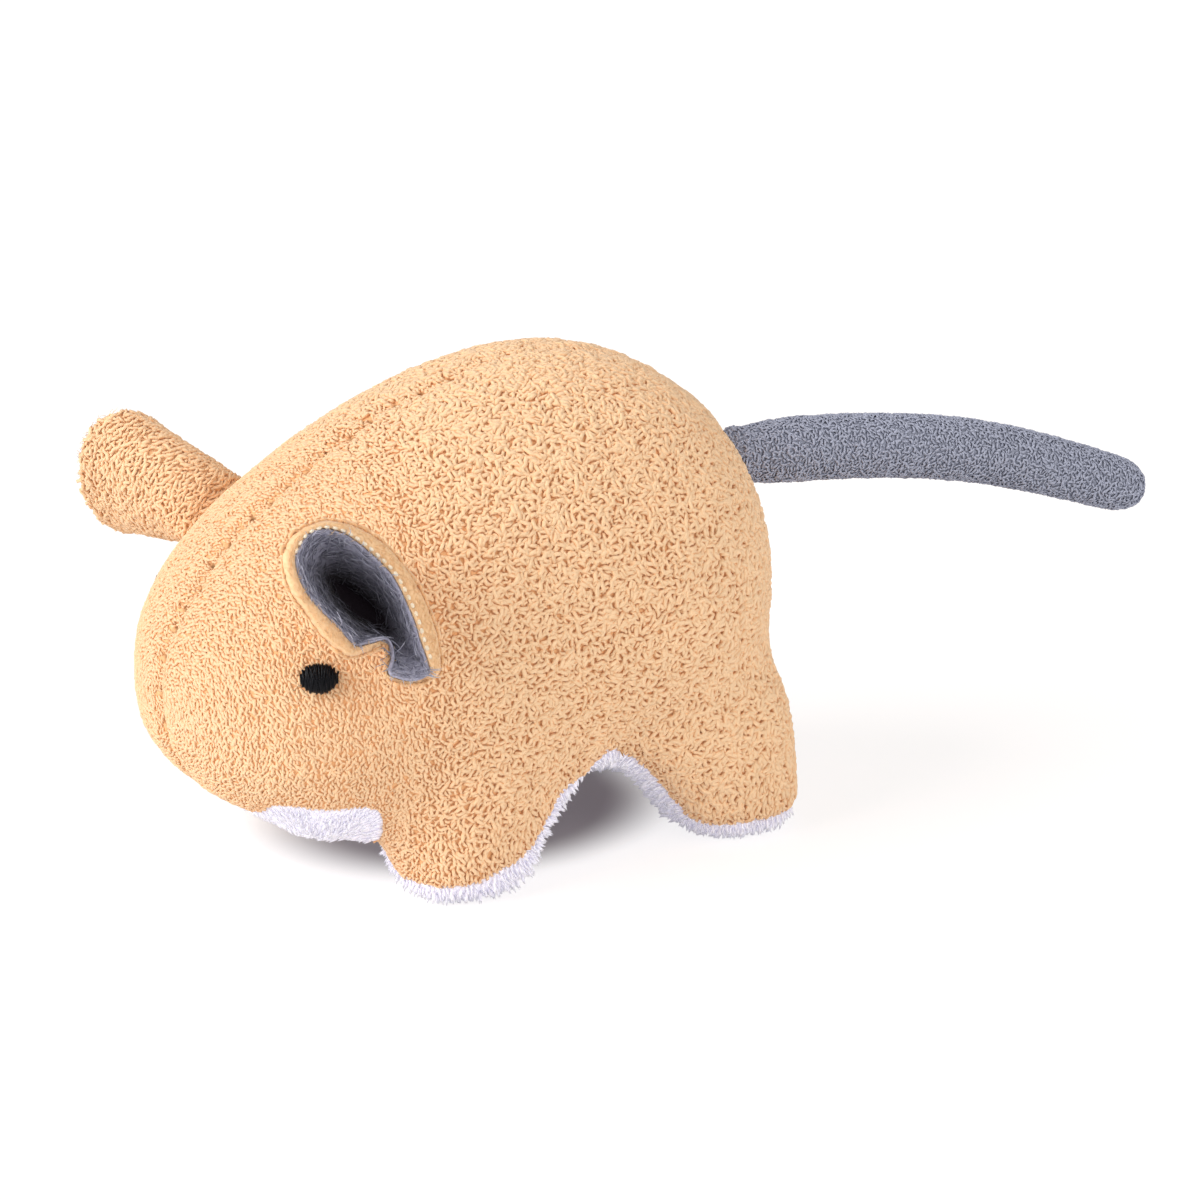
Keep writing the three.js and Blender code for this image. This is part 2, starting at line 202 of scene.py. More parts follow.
# closed tube along a path, pointed at both ends
def tubeParts(path, radii, sides):
    path = [Vector(p) for p in path]
    points = [path[0]]
    side = None
    for spot in range(1, len(path) - 1):
        run = (path[spot + 1] - path[spot - 1]).normalized()
        if side is None:
            side = run.orthogonal()
        side = (side - run * side.dot(run)).normalized()
        other = run.cross(side)
        for step in range(sides):
            lap = 2 * math.pi * step / sides
            points.append(path[spot] + (side * math.cos(lap) + other * math.sin(lap)) * radii[spot])
    points.append(path[-1])
    return points, ringFaces(sides, len(path) - 2)


def joinParts(parts):
    points, faces = [], []
    for morePoints, moreFaces in parts:
        start = len(points)
        points.extend(morePoints)
        faces.extend([start + corner for corner in face] for face in moreFaces)
    return points, faces


# helpers for node trees

# an input goes by its label, or by its number after an underscore
def addNode(tree, kind, settings=None, **inputs):
    node = tree.nodes.new(kind)
    for name, value in (settings or {}).items():
        setattr(node, name, value)
    for name, value in inputs.items():
        socket = node.inputs[int(name[1:])] if name[0] == "_" else node.inputs[name.replace("_", " ")]
        if isinstance(value, bpy.types.NodeSocket):
            tree.links.new(value, socket)
        else:
            socket.default_value = value
    return node


def math2(tree, operation, first, second):
    node = addNode(tree, "ShaderNodeMath", {"operation": operation}, _0=first, _1=second)
    return node.outputs[0]


# the float sockets of a random value are inputs 2 and 3 and output 1
def randomFloat(tree, low, high, seed):
    node = addNode(tree, "FunctionNodeRandomValue", {"data_type": "FLOAT"}, _2=low, _3=high, Seed=seed)
    return node.outputs[1]


def newTree(name, inputs):
    tree = bpy.data.node_groups.new(name, "GeometryNodeTree")
    tree.interface.new_socket("Geometry", in_out="INPUT", socket_type="NodeSocketGeometry")
    tree.interface.new_socket("Geometry", in_out="OUTPUT", socket_type="NodeSocketGeometry")
    for label, kind in inputs.items():
        tree.interface.new_socket(label, in_out="INPUT", socket_type="NodeSocket" + kind)
    return tree, addNode(tree, "NodeGroupInput").outputs


def endTree(tree, copies, material):
    real = addNode(tree, "GeometryNodeRealizeInstances", Geometry=copies).outputs[0]
    worn = addNode(tree, "GeometryNodeSetMaterial", Geometry=real, Material=material).outputs[0]
    addNode(tree, "NodeGroupOutput", Geometry=worn)
    return tree


def grow(name, bed, tree, **values):
    modifier = bed.modifiers.new("grow", "NODES")
    modifier.node_group = tree
    sockets = {item.name: item.identifier for item in tree.interface.items_tree}
    for label, value in values.items():
        modifier[sockets[label]] = value
    mesh = evaluatedMesh(bed)
    mesh.name = name
    dropObject(bed)
    return addObject(name, mesh)


# materials

def newMaterial(name):
    material = bpy.data.materials.new(name)
    material.use_nodes = True
    tree = material.node_tree
    return material, tree, tree.nodes["Principled BSDF"]


# the colour sockets of a mix are inputs 6 and 7 and output 2
def mixColour(tree, blend, share, first, second):
    node = addNode(tree, "ShaderNodeMix", {"data_type": "RGBA", "blend_type": blend},
                   _0=share, _6=first, _7=second)
    return node.outputs[2]


deepShadeRange = (0.22, 0.92)


# painted shade: darker where the "rise" attribute is low, in the bottom of an ear and in the back seam's pits
def paintedDeepShade(tree, colour, deep):
    rise = addNode(tree, "ShaderNodeAttribute", {"attribute_name": "rise"}).outputs["Fac"]
    lit = addNode(tree, "ShaderNodeMapRange", Value=rise, From_Min=deepShadeRange[0],
                  From_Max=deepShadeRange[1]).outputs[0]
    return mixColour(tree, "MIX", lit, deep, colour)


# along a fibre the colour goes from shadow by root to tip, and tone and patches make it lighter or darker
fibreLook = {
    "rootAt": 0.45,
    "tipAt": 0.9,
    "patchDetail": 3.0,
    "grainDetail": 2.0,
    "tones": (0.2, 1.7),
    "bump": 0.35,
    "relief": 0.08 * mm,
    "rough": (0.8, 1.0),
    "sheenRough": 0.6,
    "gloss": 0.2,
}


def fibreMaterial(name, root, tip, shadow, spread, patch, grain, sheen, deep=None, paintedGlow=0.0, bloom=None):
    material, tree, shader = newMaterial(name)
    place = addNode(tree, "ShaderNodeTexCoord").outputs["Object"]
    lift = addNode(tree, "ShaderNodeAttribute", {"attribute_name": "lift"}).outputs["Fac"]
    tone = addNode(tree, "ShaderNodeAttribute", {"attribute_name": "tone"}).outputs["Fac"]
    fade = addNode(tree, "ShaderNodeValToRGB", Fac=lift)
    fade.color_ramp.elements[0].color = shadow
    fade.color_ramp.elements[1].color = tip
    fade.color_ramp.elements[1].position = fibreLook["tipAt"]
    fade.color_ramp.elements.new(fibreLook["rootAt"]).color = root
    patches = addNode(tree, "ShaderNodeTexNoise", Vector=place, Scale=patch,
                      Detail=fibreLook["patchDetail"]).outputs["Fac"]
    amount = addNode(tree, "ShaderNodeMapRange", Value=math2(tree, "ADD", tone, patches),
                     From_Min=fibreLook["tones"][0], From_Max=fibreLook["tones"][1],
                     To_Min=1 - spread, To_Max=1 + spread).outputs[0]
    grey = addNode(tree, "ShaderNodeCombineColor", Red=amount, Green=amount, Blue=amount).outputs[0]
    colour = mixColour(tree, "MULTIPLY", 1.0, fade.outputs["Color"], grey)
    colour = paintedDeepShade(tree, colour, deep) if deep else colour
    tree.links.new(colour, shader.inputs["Base Color"])
    fibres = addNode(tree, "ShaderNodeTexNoise", Vector=place, Scale=grain,
                     Detail=fibreLook["grainDetail"]).outputs["Fac"]
    bump = addNode(tree, "ShaderNodeBump", Strength=fibreLook["bump"], Distance=fibreLook["relief"],
                   Height=fibres)
    tree.links.new(bump.outputs[0], shader.inputs["Normal"])
    rough = addNode(tree, "ShaderNodeMapRange", Value=fibres, To_Min=fibreLook["rough"][0],
                    To_Max=fibreLook["rough"][1]).outputs[0]
    tree.links.new(rough, shader.inputs["Roughness"])
    shader.inputs["Sheen Weight"].default_value = sheen
    shader.inputs["Sheen Roughness"].default_value = fibreLook["sheenRough"]
    shader.inputs["Sheen Tint"].default_value = bloom or tip
    shader.inputs["Emission Color"].default_value = tip
    # painted light: the fibres give off a faint light of their own, though they are no lamp, to lift their
    # shaded gaps
    shader.inputs["Emission Strength"].default_value = paintedGlow
    shader.inputs["Specular IOR Level"].default_value = fibreLook["gloss"]
    return material


# dark in the middle of each cell of the knit, light on the ridges between
clothLook = {
    "cellsPerCloud": 12,
    "cloudDetail": 4.0,
    "lightAt": 0.4,
    "bump": 0.6,
    "rough": 0.95,
    "gloss": 0.15,
    "sheen": 0.2,
}


def clothMaterial(name, light, dark, knit, relief, deep=None, paintedGlow=0.0):
    material, tree, shader = newMaterial(name)
    place = addNode(tree, "ShaderNodeTexCoord").outputs["Object"]
    cells = addNode(tree, "ShaderNodeTexVoronoi", Vector=place, Scale=knit).outputs["Distance"]
    cloud = addNode(tree, "ShaderNodeTexNoise", Vector=place, Scale=knit / clothLook["cellsPerCloud"],
                    Detail=clothLook["cloudDetail"]).outputs["Fac"]
    mixed = math2(tree, "MULTIPLY", cells, cloud)
    share = addNode(tree, "ShaderNodeMapRange", Value=mixed, From_Max=clothLook["lightAt"]).outputs[0]
    colour = mixColour(tree, "MIX", share, dark, light)
    colour = paintedDeepShade(tree, colour, deep) if deep else colour
    tree.links.new(colour, shader.inputs["Base Color"])
    bump = addNode(tree, "ShaderNodeBump", Strength=clothLook["bump"], Distance=relief, Height=cells)
    tree.links.new(bump.outputs[0], shader.inputs["Normal"])
    shader.inputs["Roughness"].default_value = clothLook["rough"]
    shader.inputs["Specular IOR Level"].default_value = clothLook["gloss"]
    shader.inputs["Sheen Weight"].default_value = clothLook["sheen"]
    shader.inputs["Emission Color"].default_value = light
    # painted light: the cloth gives off a faint light of its own, though it is no lamp, to lift its shade
    shader.inputs["Emission Strength"].default_value = paintedGlow
    return material


# the emission strengths given here are painted light that lifts the shade in the pile's gaps; the deep colour
# is painted shade in the back seam's pits
tanLoop = fibreMaterial("tanLoop", linear(234, 185, 137), linear(244, 207, 166), linear(220, 164, 112),
                        spread=0.05, patch=70, grain=5200, sheen=0.2, paintedGlow=0.05, bloom=linear(255, 236, 226))
tanGround = clothMaterial("tanGround", linear(240, 190, 140), linear(230, 176, 124),
                          knit=1400, relief=0.2 * mm, deep=linear(132, 88, 52), paintedGlow=0.1)
tanFelt = clothMaterial("tanFelt", linear(250, 210, 164), linear(240, 192, 142), knit=1800, relief=0.15 * mm)
whitePlush = fibreMaterial("whitePlush", linear(246, 243, 255), linear(250, 248, 255), linear(242, 239, 254),
                           spread=0.01, patch=60, grain=6000, sheen=0.4, paintedGlow=0.14)
whiteGround = clothMaterial("whiteGround", linear(248, 246, 255), linear(242, 239, 254),
                            knit=1600, relief=0.1 * mm, paintedGlow=0.14)
greyCurl = fibreMaterial("greyCurl", linear(160, 163, 180), linear(184, 187, 203), linear(142, 145, 162),
                         spread=0.06, patch=80, grain=6500, sheen=0.3)
greyGround = clothMaterial("greyGround", linear(162, 165, 180), linear(140, 143, 158),
                           knit=1800, relief=0.15 * mm)
print("materials ready")


# the body: one closed soft form over the CAD solids, stuffed by a cloth simulation

bodyCover = {
    "voxel": 1.25 * mm,
    "gapGrow": 0.8 * mm,
    "creaseRounds": 60,
    "creaseRefresh": 4,
    "creaseStep": 0.8,
    "creaseLimit": 3.2 * mm,
    "smoothRounds": 16,
    "seamRounds": 10,
    "slack": 0.5 * mm,
    "pressure": 4,
    "frames": 20,
    "simScale": 10,
    "moveLimit": 1.6 * mm,
    "soleHeight": 0.9 * mm,
    "wall": 1.4 * mm,
}
panelNodes = {"left": "left_side_panel", "right": "right_side_panel", "belly": "belly_panel"}
leftPanel, rightPanel, bellyPanel = range(len(panelNodes))  # a panel's number is its place in panelNodes
bodyLumps = ["head_stuffing", "body_stuffing"]
legLumps = [f"{end}_{side}_leg_stuffing" for end in ("front", "rear") for side in ("left", "right")]


def softForm(name, nodes, voxel, gapGrow):
    points, faces = [], []
    for node in nodes:
        work = mergedNode(node)
        start = len(points)
        points.extend(v.co + v.normal * gapGrow for v in work.verts)
        faces.extend([start + v.index for v in f.verts] for f in work.faces)
        work.free()
    item = addObject(name, meshFrom(name, points, faces))
    remesh = item.modifiers.new("remesh", "REMESH")
    remesh.mode = "VOXEL"
    remesh.voxel_size = voxel
    mesh = evaluatedMesh(item)
    dropObject(item)
    setPoints(mesh, pointsOf(mesh) - normalsOf(mesh) * gapGrow)
    return mesh


# cloth bridges a crease instead of following it into the corner
def fillCreases(mesh):
    start, edges = pointsOf(mesh), edgesOf(mesh)
    points = start
    for turn in range(bodyCover["creaseRounds"]):
        if turn % bodyCover["creaseRefresh"] == 0:
            setPoints(mesh, points)
            normals = normalsOf(mesh)
        pull = neighbourMean(points, edges) - points
        outward = np.einsum("ij,ij->i", pull, normals)
        points = points + np.where(outward > 0, bodyCover["creaseStep"], 0.0)[:, None] * pull
        points = start + capped(points - start, bodyCover["creaseLimit"])
    setPoints(mesh, points)


def panelOf(places, trees):
    gaps = np.array([[tree.find_nearest(Vector(p))[3] for tree in trees] for p in places])
    return gaps.argmin(axis=1)


# edges where two panels meet
def seamEdges(faces, owner):
    sides = {}
    for face, who in zip(faces, owner):
        for spot, corner in enumerate(face):
            sides.setdefault(tuple(sorted((corner, face[spot - 1]))), set()).add(int(who))
    return {edge: frozenset(who) for edge, who in sides.items() if len(who) > 1}


# a seam's line is smoothed along its run, and held where it ends or forks
def easeSeams(points, edges):
    edges = np.array(sorted(edges))
    held = np.bincount(edges.ravel(), minlength=len(points)) != 2
    for _ in range(bodyCover["seamRounds"]):
        eased = (points + neighbourMean(points, edges)) / 2
        points = np.where(held[:, None], points, eased)
    return points, np.unique(edges)


def stuff(mesh, pinned):
    scale = bodyCover["simScale"]
    item = addObject("stuffing", mesh.copy())
    setPoints(item.data, pointsOf(mesh) * scale)
    pins = item.vertex_groups.new(name="seams")
    pins.add([int(v) for v in pinned], 1, "REPLACE")
    cloth = item.modifiers.new("cloth", "CLOTH")
    cloth.settings.vertex_group_mass = "seams"
    cloth.settings.use_pressure = True
    cloth.settings.uniform_pressure_force = bodyCover["pressure"]
    cloth.settings.effector_weights.gravity = 0
    cloth.point_cache.frame_end = bodyCover["frames"]
    for number in range(1, bodyCover["frames"] + 1):
        scene.frame_set(number)
    stuffed = evaluatedMesh(item)
    moved = pointsOf(stuffed) / scale - pointsOf(mesh)
    setPoints(mesh, pointsOf(mesh) + capped(moved, bodyCover["moveLimit"]))
    scene.frame_set(1)
    dropObject(item)


# the belly's cloth comes up round the jaw, hangs a little in front of the legs and is drawn up at the chin;
# places are in millimetres from the mouse's own middle
jawSeam = {
    "back": (32, 35),
    "backHeight": 12,
    "height": 17.2,
    "front": 40,
    "fall": 0.12,
    "tip": 48,
    "hang": 2.2 * mm,
    "hangBack": (28, 33),
    "hangFront": (37, 46),
    "hangSide": (14, 23),
    "hangFoot": (7, 11),
    "chinLift": 1.4 * mm,
    "chinBack": (41, 48),
    "chinFront": (56, 64),
    "facingDown": (0.1, 0.6),
}


def underJaw(places):
    along = alongBody(places)
    rise = (jawSeam["height"] - jawSeam["backHeight"]) * ramp(along, *jawSeam["back"])
    line = jawSeam["backHeight"] + rise - jawSeam["fall"] * np.maximum(along - jawSeam["front"], 0)
    return (along > jawSeam["back"][0]) & (places[:, 2] / mm < line)


# ahead of the white the two sides meet under the chin
def overChin(places, owner):
    ahead = alongBody(places) > jawSeam["tip"]
    nearer = np.where(places[:, 1] > 0, leftPanel, rightPanel)
    return np.where(ahead & (owner == bellyPanel), nearer, owner)


# the belly's cloth also shows round the feet, and most along the rear edge of the front legs
archEdge = ((-60, 30, 6), (3, 20, 24), (4, 20, 24), (5, 14, 22))  # from, to and up to which height


def widenBelly(faces, owner, places):
    along, height = alongBody(places), places[:, 2] / mm
    for low, high, top in archEdge:
        near = (along > low) & (along < high) & (height < top)
        white = {corner for face, who in zip(faces, owner) if who == bellyPanel for corner in face}
        touching = np.array([not white.isdisjoint(face) for face in faces])
        owner = np.where(near & touching, bellyPanel, owner)
    return owner


def hangBelly(points, normals):
    along = alongBody(points)
    below = ramp(-normals[:, 2], *jawSeam["facingDown"])
    share = ramp(along, *jawSeam["hangBack"]) * (1 - ramp(along, *jawSeam["hangFront"]))
    share = share * (1 - ramp(np.abs(points[:, 1]) / mm, *jawSeam["hangSide"]))
    share = share * ramp(points[:, 2] / mm, *jawSeam["hangFoot"]) * below
    chin = ramp(along, *jawSeam["chinBack"]) * (1 - ramp(along, *jawSeam["chinFront"])) * below
    return points + np.outer(chin * jawSeam["chinLift"] - share * jawSeam["hang"], (0, 0, 1))


# the back seam draws the cover in
backGroove = {
    "depth": 0.55 * mm,
    "reach": 2.4 * mm,
    "least": 0.35,
    "fade": (0, 30),
    "pitEvery": 5,
    "pitDepth": 0.6 * mm,
    "pitsFrom": 8,
    "heart": 25 * mm,
}
backPair = frozenset((leftPanel, rightPanel))


# the seam's points in order round the body's heart
def backDots(points, seams):
    dots = {corner for edge, who in seams.items() if who == backPair for corner in edge}
    reach = {dot: points[dot] - np.array([middle.x, 0, backGroove["heart"]]) for dot in dots}
    return sorted(dots, key=lambda dot: math.atan2(reach[dot][2], reach[dot][0]))


# the seam lies in a groove, with small pits where its stitches pull the pile under
def pressBackSeam(mesh, seams):
    points = pointsOf(mesh)
    dots = backDots(points, seams)
    gap = np.array([np.sqrt(((points[dots] - p) ** 2).sum(axis=1).min()) for p in points])
    along = alongBody(points)
    share = rising(along, backGroove["least"], 1 - backGroove["least"], *backGroove["fade"])
    depth = backGroove["depth"] * share * (1 - ramp(gap, 0, backGroove["reach"]))
    pits = [dot for dot in dots[::backGroove["pitEvery"]] if along[dot] > backGroove["pitsFrom"]]
    depth[pits] += backGroove["pitDepth"]
    setPoints(mesh, points - normalsOf(mesh) * depth[:, None])
    return np.array(pits)


def makeBody():
    mesh = softForm("bodyForm", [*panelNodes.values(), *bodyLumps, *legLumps],
                    bodyCover["voxel"], bodyCover["gapGrow"])
    fillCreases(mesh)
    setPoints(mesh, relax(pointsOf(mesh), edgesOf(mesh), bodyCover["smoothRounds"]))
    trees = [BVHTree.FromBMesh(mergedNode(node)) for node in panelNodes.values()]
    faces, points = facesOf(mesh), pointsOf(mesh)
    places = np.array([points[face].mean(axis=0) for face in faces])
    owner = overChin(places, np.where(underJaw(places), bellyPanel, panelOf(places, trees)))
    owner = widenBelly(faces, owner, places)
    points = hangBelly(points, normalsOf(mesh))
    seams = seamEdges(faces, owner)
    points, seamPoints = easeSeams(points, list(seams))
    setPoints(mesh, points)
    setPoints(mesh, points - normalsOf(mesh) * bodyCover["slack"])
    soles = np.flatnonzero(points[:, 2] < bodyCover["soleHeight"])
    stuff(mesh, np.union1d(seamPoints, soles))
    pits = pressBackSeam(mesh, seams)
    layOnFloor(mesh, floorGap["cloth"])
    return mesh, owner, seams, pits


bodyMesh, panelOwner, seamLines, seamPits = makeBody()
bodyPoints, bodyNormals, bodyFaces = pointsOf(bodyMesh), normalsOf(bodyMesh), facesOf(bodyMesh)
print("body stuffed:", len(bodyPoints), "points")


# part of the body's skin, and which of the body's points it uses
def skinPart(name, chosen):
    picked = [face for face, keep in zip(bodyFaces, chosen) if keep]
    used = np.unique(np.concatenate(picked))
    index = newNumbers(used)
    mesh = meshFrom(name, bodyPoints[used], [[index[c] for c in face] for face in picked])
    return mesh, used


faceMiddles = np.array([bodyPoints[face].mean(axis=0) for face in bodyFaces])
seamDots = np.array(sorted({corner for edge in seamLines for corner in edge}))


def fromSeam(places):
    line = bodyPoints[seamDots]
    return np.array([p - line[((line - p) ** 2).sum(axis=1).argmin()] for p in places])


def seamGap(places):
    return np.linalg.norm(fromSeam(places), axis=1)


# one face on each side of a pit stays bare
def pitFaces():
    pits = {int(dot) for dot in seamPits}
    bare = np.zeros(len(bodyFaces), bool)
    taken = set()
    for number, face in enumerate(bodyFaces):
        for dot in face:
            if dot in pits and (dot, panelOwner[number]) not in taken:
                taken.add((dot, panelOwner[number]))
                bare[number] = True
    return bare


inPit = pitFaces()


# terry loops: short curled worms of yarn with both ends sunk into the cloth

terryLoop = {
    "length": 1.8 * mm,
    "yarnRadius": 0.32 * mm,
    "height": 0.34 * mm,
    "sink": 0.25 * mm,
    "sides": 4,
    "steps": 6,
    "curls": (0.6, 1.5, 2.4, 3.2),
    "sways": (0.35, -0.35),
    "roundness": 0.6,
    "spacing": 0.5 * mm,
    "density": 1.8e7,
}
# on the head they lie lower
headLoop = {**terryLoop, "height": 0.2 * mm, "yarnRadius": 0.34 * mm, "spacing": 0.43 * mm}


def loopMesh(name, style, curl, sway):
    path, radii = [], []
    steps = style["steps"] - 1
    for step in range(steps + 1):
        share = step / steps
        if curl:
            turn = (share - 0.5) * curl
            reach = style["length"] / curl
            centred = math.cos(turn) - math.cos(curl / 3)  # the arc lies about its own middle
            flat = (reach * math.sin(turn), reach * centred)
        else:
            flat = (style["length"] * (share - 0.5), sway * mm * math.sin(2 * math.pi * share))
        up = math.sin(math.pi * share) ** style["roundness"] if 0 < step < steps else 0
        path.append((*flat, up * (style["height"] + style["sink"]) - style["sink"]))
        radii.append(style["yarnRadius"])
    points, faces = tubeParts(path, radii, style["sides"])
    mesh = meshFrom(name, points, faces)
    heights = np.array([p[2] for p in points])
    setValues(mesh, "lift", np.clip(heights / (style["height"] + style["yarnRadius"]), 0, 1))
    return mesh


def strandGroup(name, meshes):
    group = bpy.data.collections.new(name)
    for mesh in meshes:
        group.objects.link(bpy.data.objects.new(mesh.name, mesh))
    return group


def loopGroup(name, style):
    meshes = [loopMesh(f"{name}Curl{n}", style, curl, 0) for n, curl in enumerate(style["curls"])]
    meshes += [loopMesh(f"{name}Sway{n}", style, 0, sway) for n, sway in enumerate(style["sways"])]
    return strandGroup(name, meshes)


strandSizes = (0.75, 1.25)
strandPicks = 60  # far more than a group's strands: the number wraps round


def pileTree():
    tree, given = newTree("pile", {
        "Strands": "Collection", "Yarn": "Material", "Spacing": "Float", "Density": "Float",
        "Lean": "Float", "Lean Spread": "Float", "Seed": "Int"})
    spots = addNode(tree, "GeometryNodeDistributePointsOnFaces", {"distribute_method": "POISSON"},
                    Mesh=given["Geometry"], Distance_Min=given["Spacing"],
                    Density_Max=given["Density"], Seed=given["Seed"])

    def stored(name, kind):
        return addNode(tree, "GeometryNodeInputNamedAttribute", {"data_type": kind}, Name=name).outputs[0]

    def chance(low, high, offset):
        return randomFloat(tree, low, high, math2(tree, "ADD", given["Seed"], float(offset)))

    def turned(rotation, axis, angle):
        spin = addNode(tree, "FunctionNodeAxisAngleToRotation", Axis=axis, Angle=angle).outputs[0]
        return addNode(tree, "FunctionNodeRotateRotation", {"rotation_space": "LOCAL"},
                       Rotation=rotation, Rotate_By=spin).outputs[0]

    stood = addNode(tree, "FunctionNodeAlignRotationToVector", {"axis": "Z"},
                    Vector=spots.outputs["Normal"]).outputs[0]
    lined = addNode(tree, "FunctionNodeAlignRotationToVector", {"axis": "X", "pivot_axis": "Z"},
                    Rotation=stood, Vector=stored("flow", "FLOAT_VECTOR")).outputs[0]
    wander = math2(tree, "MULTIPLY", chance(-math.pi, math.pi, 1), stored("mess", "FLOAT"))
    spun = turned(lined, (0, 0, 1), wander)
    sideways = math2(tree, "MULTIPLY", chance(-1, 1, 2), given["Lean Spread"])
    leaned = turned(spun, (0, 1, 0), math2(tree, "ADD", given["Lean"], sideways))
    size = math2(tree, "MULTIPLY", stored("size", "FLOAT"), chance(*strandSizes, 3))
    strands = addNode(tree, "GeometryNodeCollectionInfo", Collection=given["Strands"],
                      Separate_Children=True, Reset_Children=True).outputs[0]
    pick = addNode(tree, "FunctionNodeRandomValue", {"data_type": "INT"}, _4=0, _5=strandPicks,
                   Seed=given["Seed"])
    copies = addNode(tree, "GeometryNodeInstanceOnPoints", Points=spots.outputs["Points"],
                     Instance=strands, Pick_Instance=True, Instance_Index=pick.outputs[2],
                     Rotation=leaned, Scale=size).outputs[0]
    toned = addNode(tree, "GeometryNodeStoreNamedAttribute", {"data_type": "FLOAT", "domain": "INSTANCE"},
                    Geometry=copies, Name="tone", Value=chance(0, 1, 4)).outputs[0]
    return endTree(tree, toned, given["Yarn"])


pile = pileTree()
terry = loopGroup("terry", terryLoop)
lowTerry = loopGroup("lowTerry", headLoop)


def cover(name, bed, style, strands, yarn, seed, lean=0.0, leanSpread=0.0):
    values = {"Strands": strands, "Yarn": yarn, "Spacing": style["spacing"], "Density": style["density"],
              "Lean": lean, "Lean Spread": leanSpread, "Seed": seed}
    made = grow(name, addObject(name + "Bed", bed), pile, **values)
    layOnFloor(made.data, floorGap["pile"])
    print(name, len(made.data.polygons), "faces")
    return made


# how loops lie: combed round the body on the head and legs, curled at random on the flanks
# a row gives the least, how much more, and from where to where it grows in millimetres
terryComb = {
    "slant": 0.25,
    "messBehind": (0.16, 0.6, -34, -16),
    "messAbove": (0.3, 0.5, 10, 22),
    "messFromSeam": (0.45, 0.55, 1, 6),
    "sizeBehind": (0.7, 0.3, -36, -14),
    "sizeAtRump": (0, 0.12, 8, 24),
    "sizeFromSeam": (0.72, 0.28, 0.3, 2.5),
}


def combBed(mesh, used):
    points, normals = bodyPoints[used], bodyNormals[used]
    behind, height, gap = -alongBody(points), points[:, 2] / mm, seamGap(points) / mm
    slant = np.full(len(used), terryComb["slant"])
    flow = np.stack([slant, -normals[:, 2], normals[:, 1]], axis=1)
    mess = np.minimum(rising(behind, *terryComb["messBehind"]), rising(height, *terryComb["messAbove"]))
    size = rising(behind, *terryComb["sizeBehind"]) + rising(behind, *terryComb["sizeAtRump"])
    setPile(mesh, flow, mess * rising(gap, *terryComb["messFromSeam"]),
            size * rising(gap, *terryComb["sizeFromSeam"]))


def closedPanel(name, mesh, wall, material):
    item = addObject(name, mesh)
    solid = item.modifiers.new("wall", "SOLIDIFY")
    solid.thickness = wall
    solid.offset = -1
    solid.use_rim = True
    item.data = evaluatedMesh(item)
    item.modifiers.clear()
    item.data.materials.clear()
    item.data.materials.append(material)
    printArea(item)
    return item


# the eyes lie where the CAD domes are, so no loops stand there
eyeDisc = {
    "halfLength": 2.6 * mm,
    "halfHeight": 2.05 * mm,
    "halfDepth": 1.15 * mm,
    "ahead": 0.55 * mm,
    "above": 0.35 * mm,
    "clear": 0.95,
    "clearDepth": 4 * mm,
    "threads": 22,
    "threadRadius": 0.17 * mm,
    "threadSides": 5,
    "threadArc": 100,
    "threadSteps": 12,
    "threadTilt": 0.4,
    "rowReach": 0.94,
    "padReach": 0.98,
    "padRows": 10,
    "padAround": 27,
    "seed": 5,
}


def eyeFrame(side):
    points = np.array([v.co for v in frame["nodes"][side + "_eye"].data.vertices])
    points = np.unique(np.round(points, 7), axis=0)  # each corner once
    centre = (points.min(axis=0) + points.max(axis=0)) / 2
    axes = np.linalg.svd(points - centre, full_matrices=False)[2]
    level, out = Vector(axes[0]), Vector(axes[2])
    out = out if out.y * centre[1] > 0 else -out
    level = level if level.x > 0 else -level
    up = out.cross(level)
    up = up if up.z > 0 else -up
    return Vector(centre) + level * eyeDisc["ahead"] + up * eyeDisc["above"], level, up, out


eyeFrames = {side: eyeFrame(side) for side in ("left", "right")}


def underEye(places, side):
    centre, level, up, out = eyeFrames[side]
    reach = np.asarray(places) - np.array(centre)
    along = reach @ np.array(level) / eyeDisc["halfLength"]
    across = reach @ np.array(up) / eyeDisc["halfHeight"]
    deep = np.abs(reach @ np.array(out)) < eyeDisc["clearDepth"]
    return deep & (np.hypot(along, across) < eyeDisc["clear"])


# along the body, in millimetres ahead of its middle
regions = {"head": (30, 99), "shoulder": (8, 30), "flank": (-14, 8), "haunch": (-99, -14)}
sideSeeds = {"left": 11, "right": 21}


def dressSides():
    place = alongBody(faceMiddles)
    for number, side in ((leftPanel, "left"), (rightPanel, "right")):
        node = panelNodes[side]
        mesh, used = skinPart(node + "_cloth", panelOwner == number)
        # painted shade: rise is 0 at the seam's pits, where the ground cloth turns to its deep colour
        setValues(mesh, "rise", 1.0 - np.isin(used, seamPits))
        panel = closedPanel(node + "_cloth", mesh, bodyCover["wall"], tanGround)
        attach(panel, "torso")
        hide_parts(node)
        for turn, (region, (low, high)) in enumerate(regions.items()):
            chosen = (panelOwner == number) & (place > low) & (place <= high)
            chosen = chosen & ~inPit & ~underEye(faceMiddles, side)
            bed, spots = skinPart("bed", chosen)
            combBed(bed, spots)
            style, yarn = (headLoop, lowTerry) if region == "head" else (terryLoop, terry)
            loops = cover(f"{side}_{region}_loops", bed, style, yarn, tanLoop, sideSeeds[side] + turn)
            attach(loops, "torso")


dressSides()


# the white belly: short plush in small clumps of straight fibres

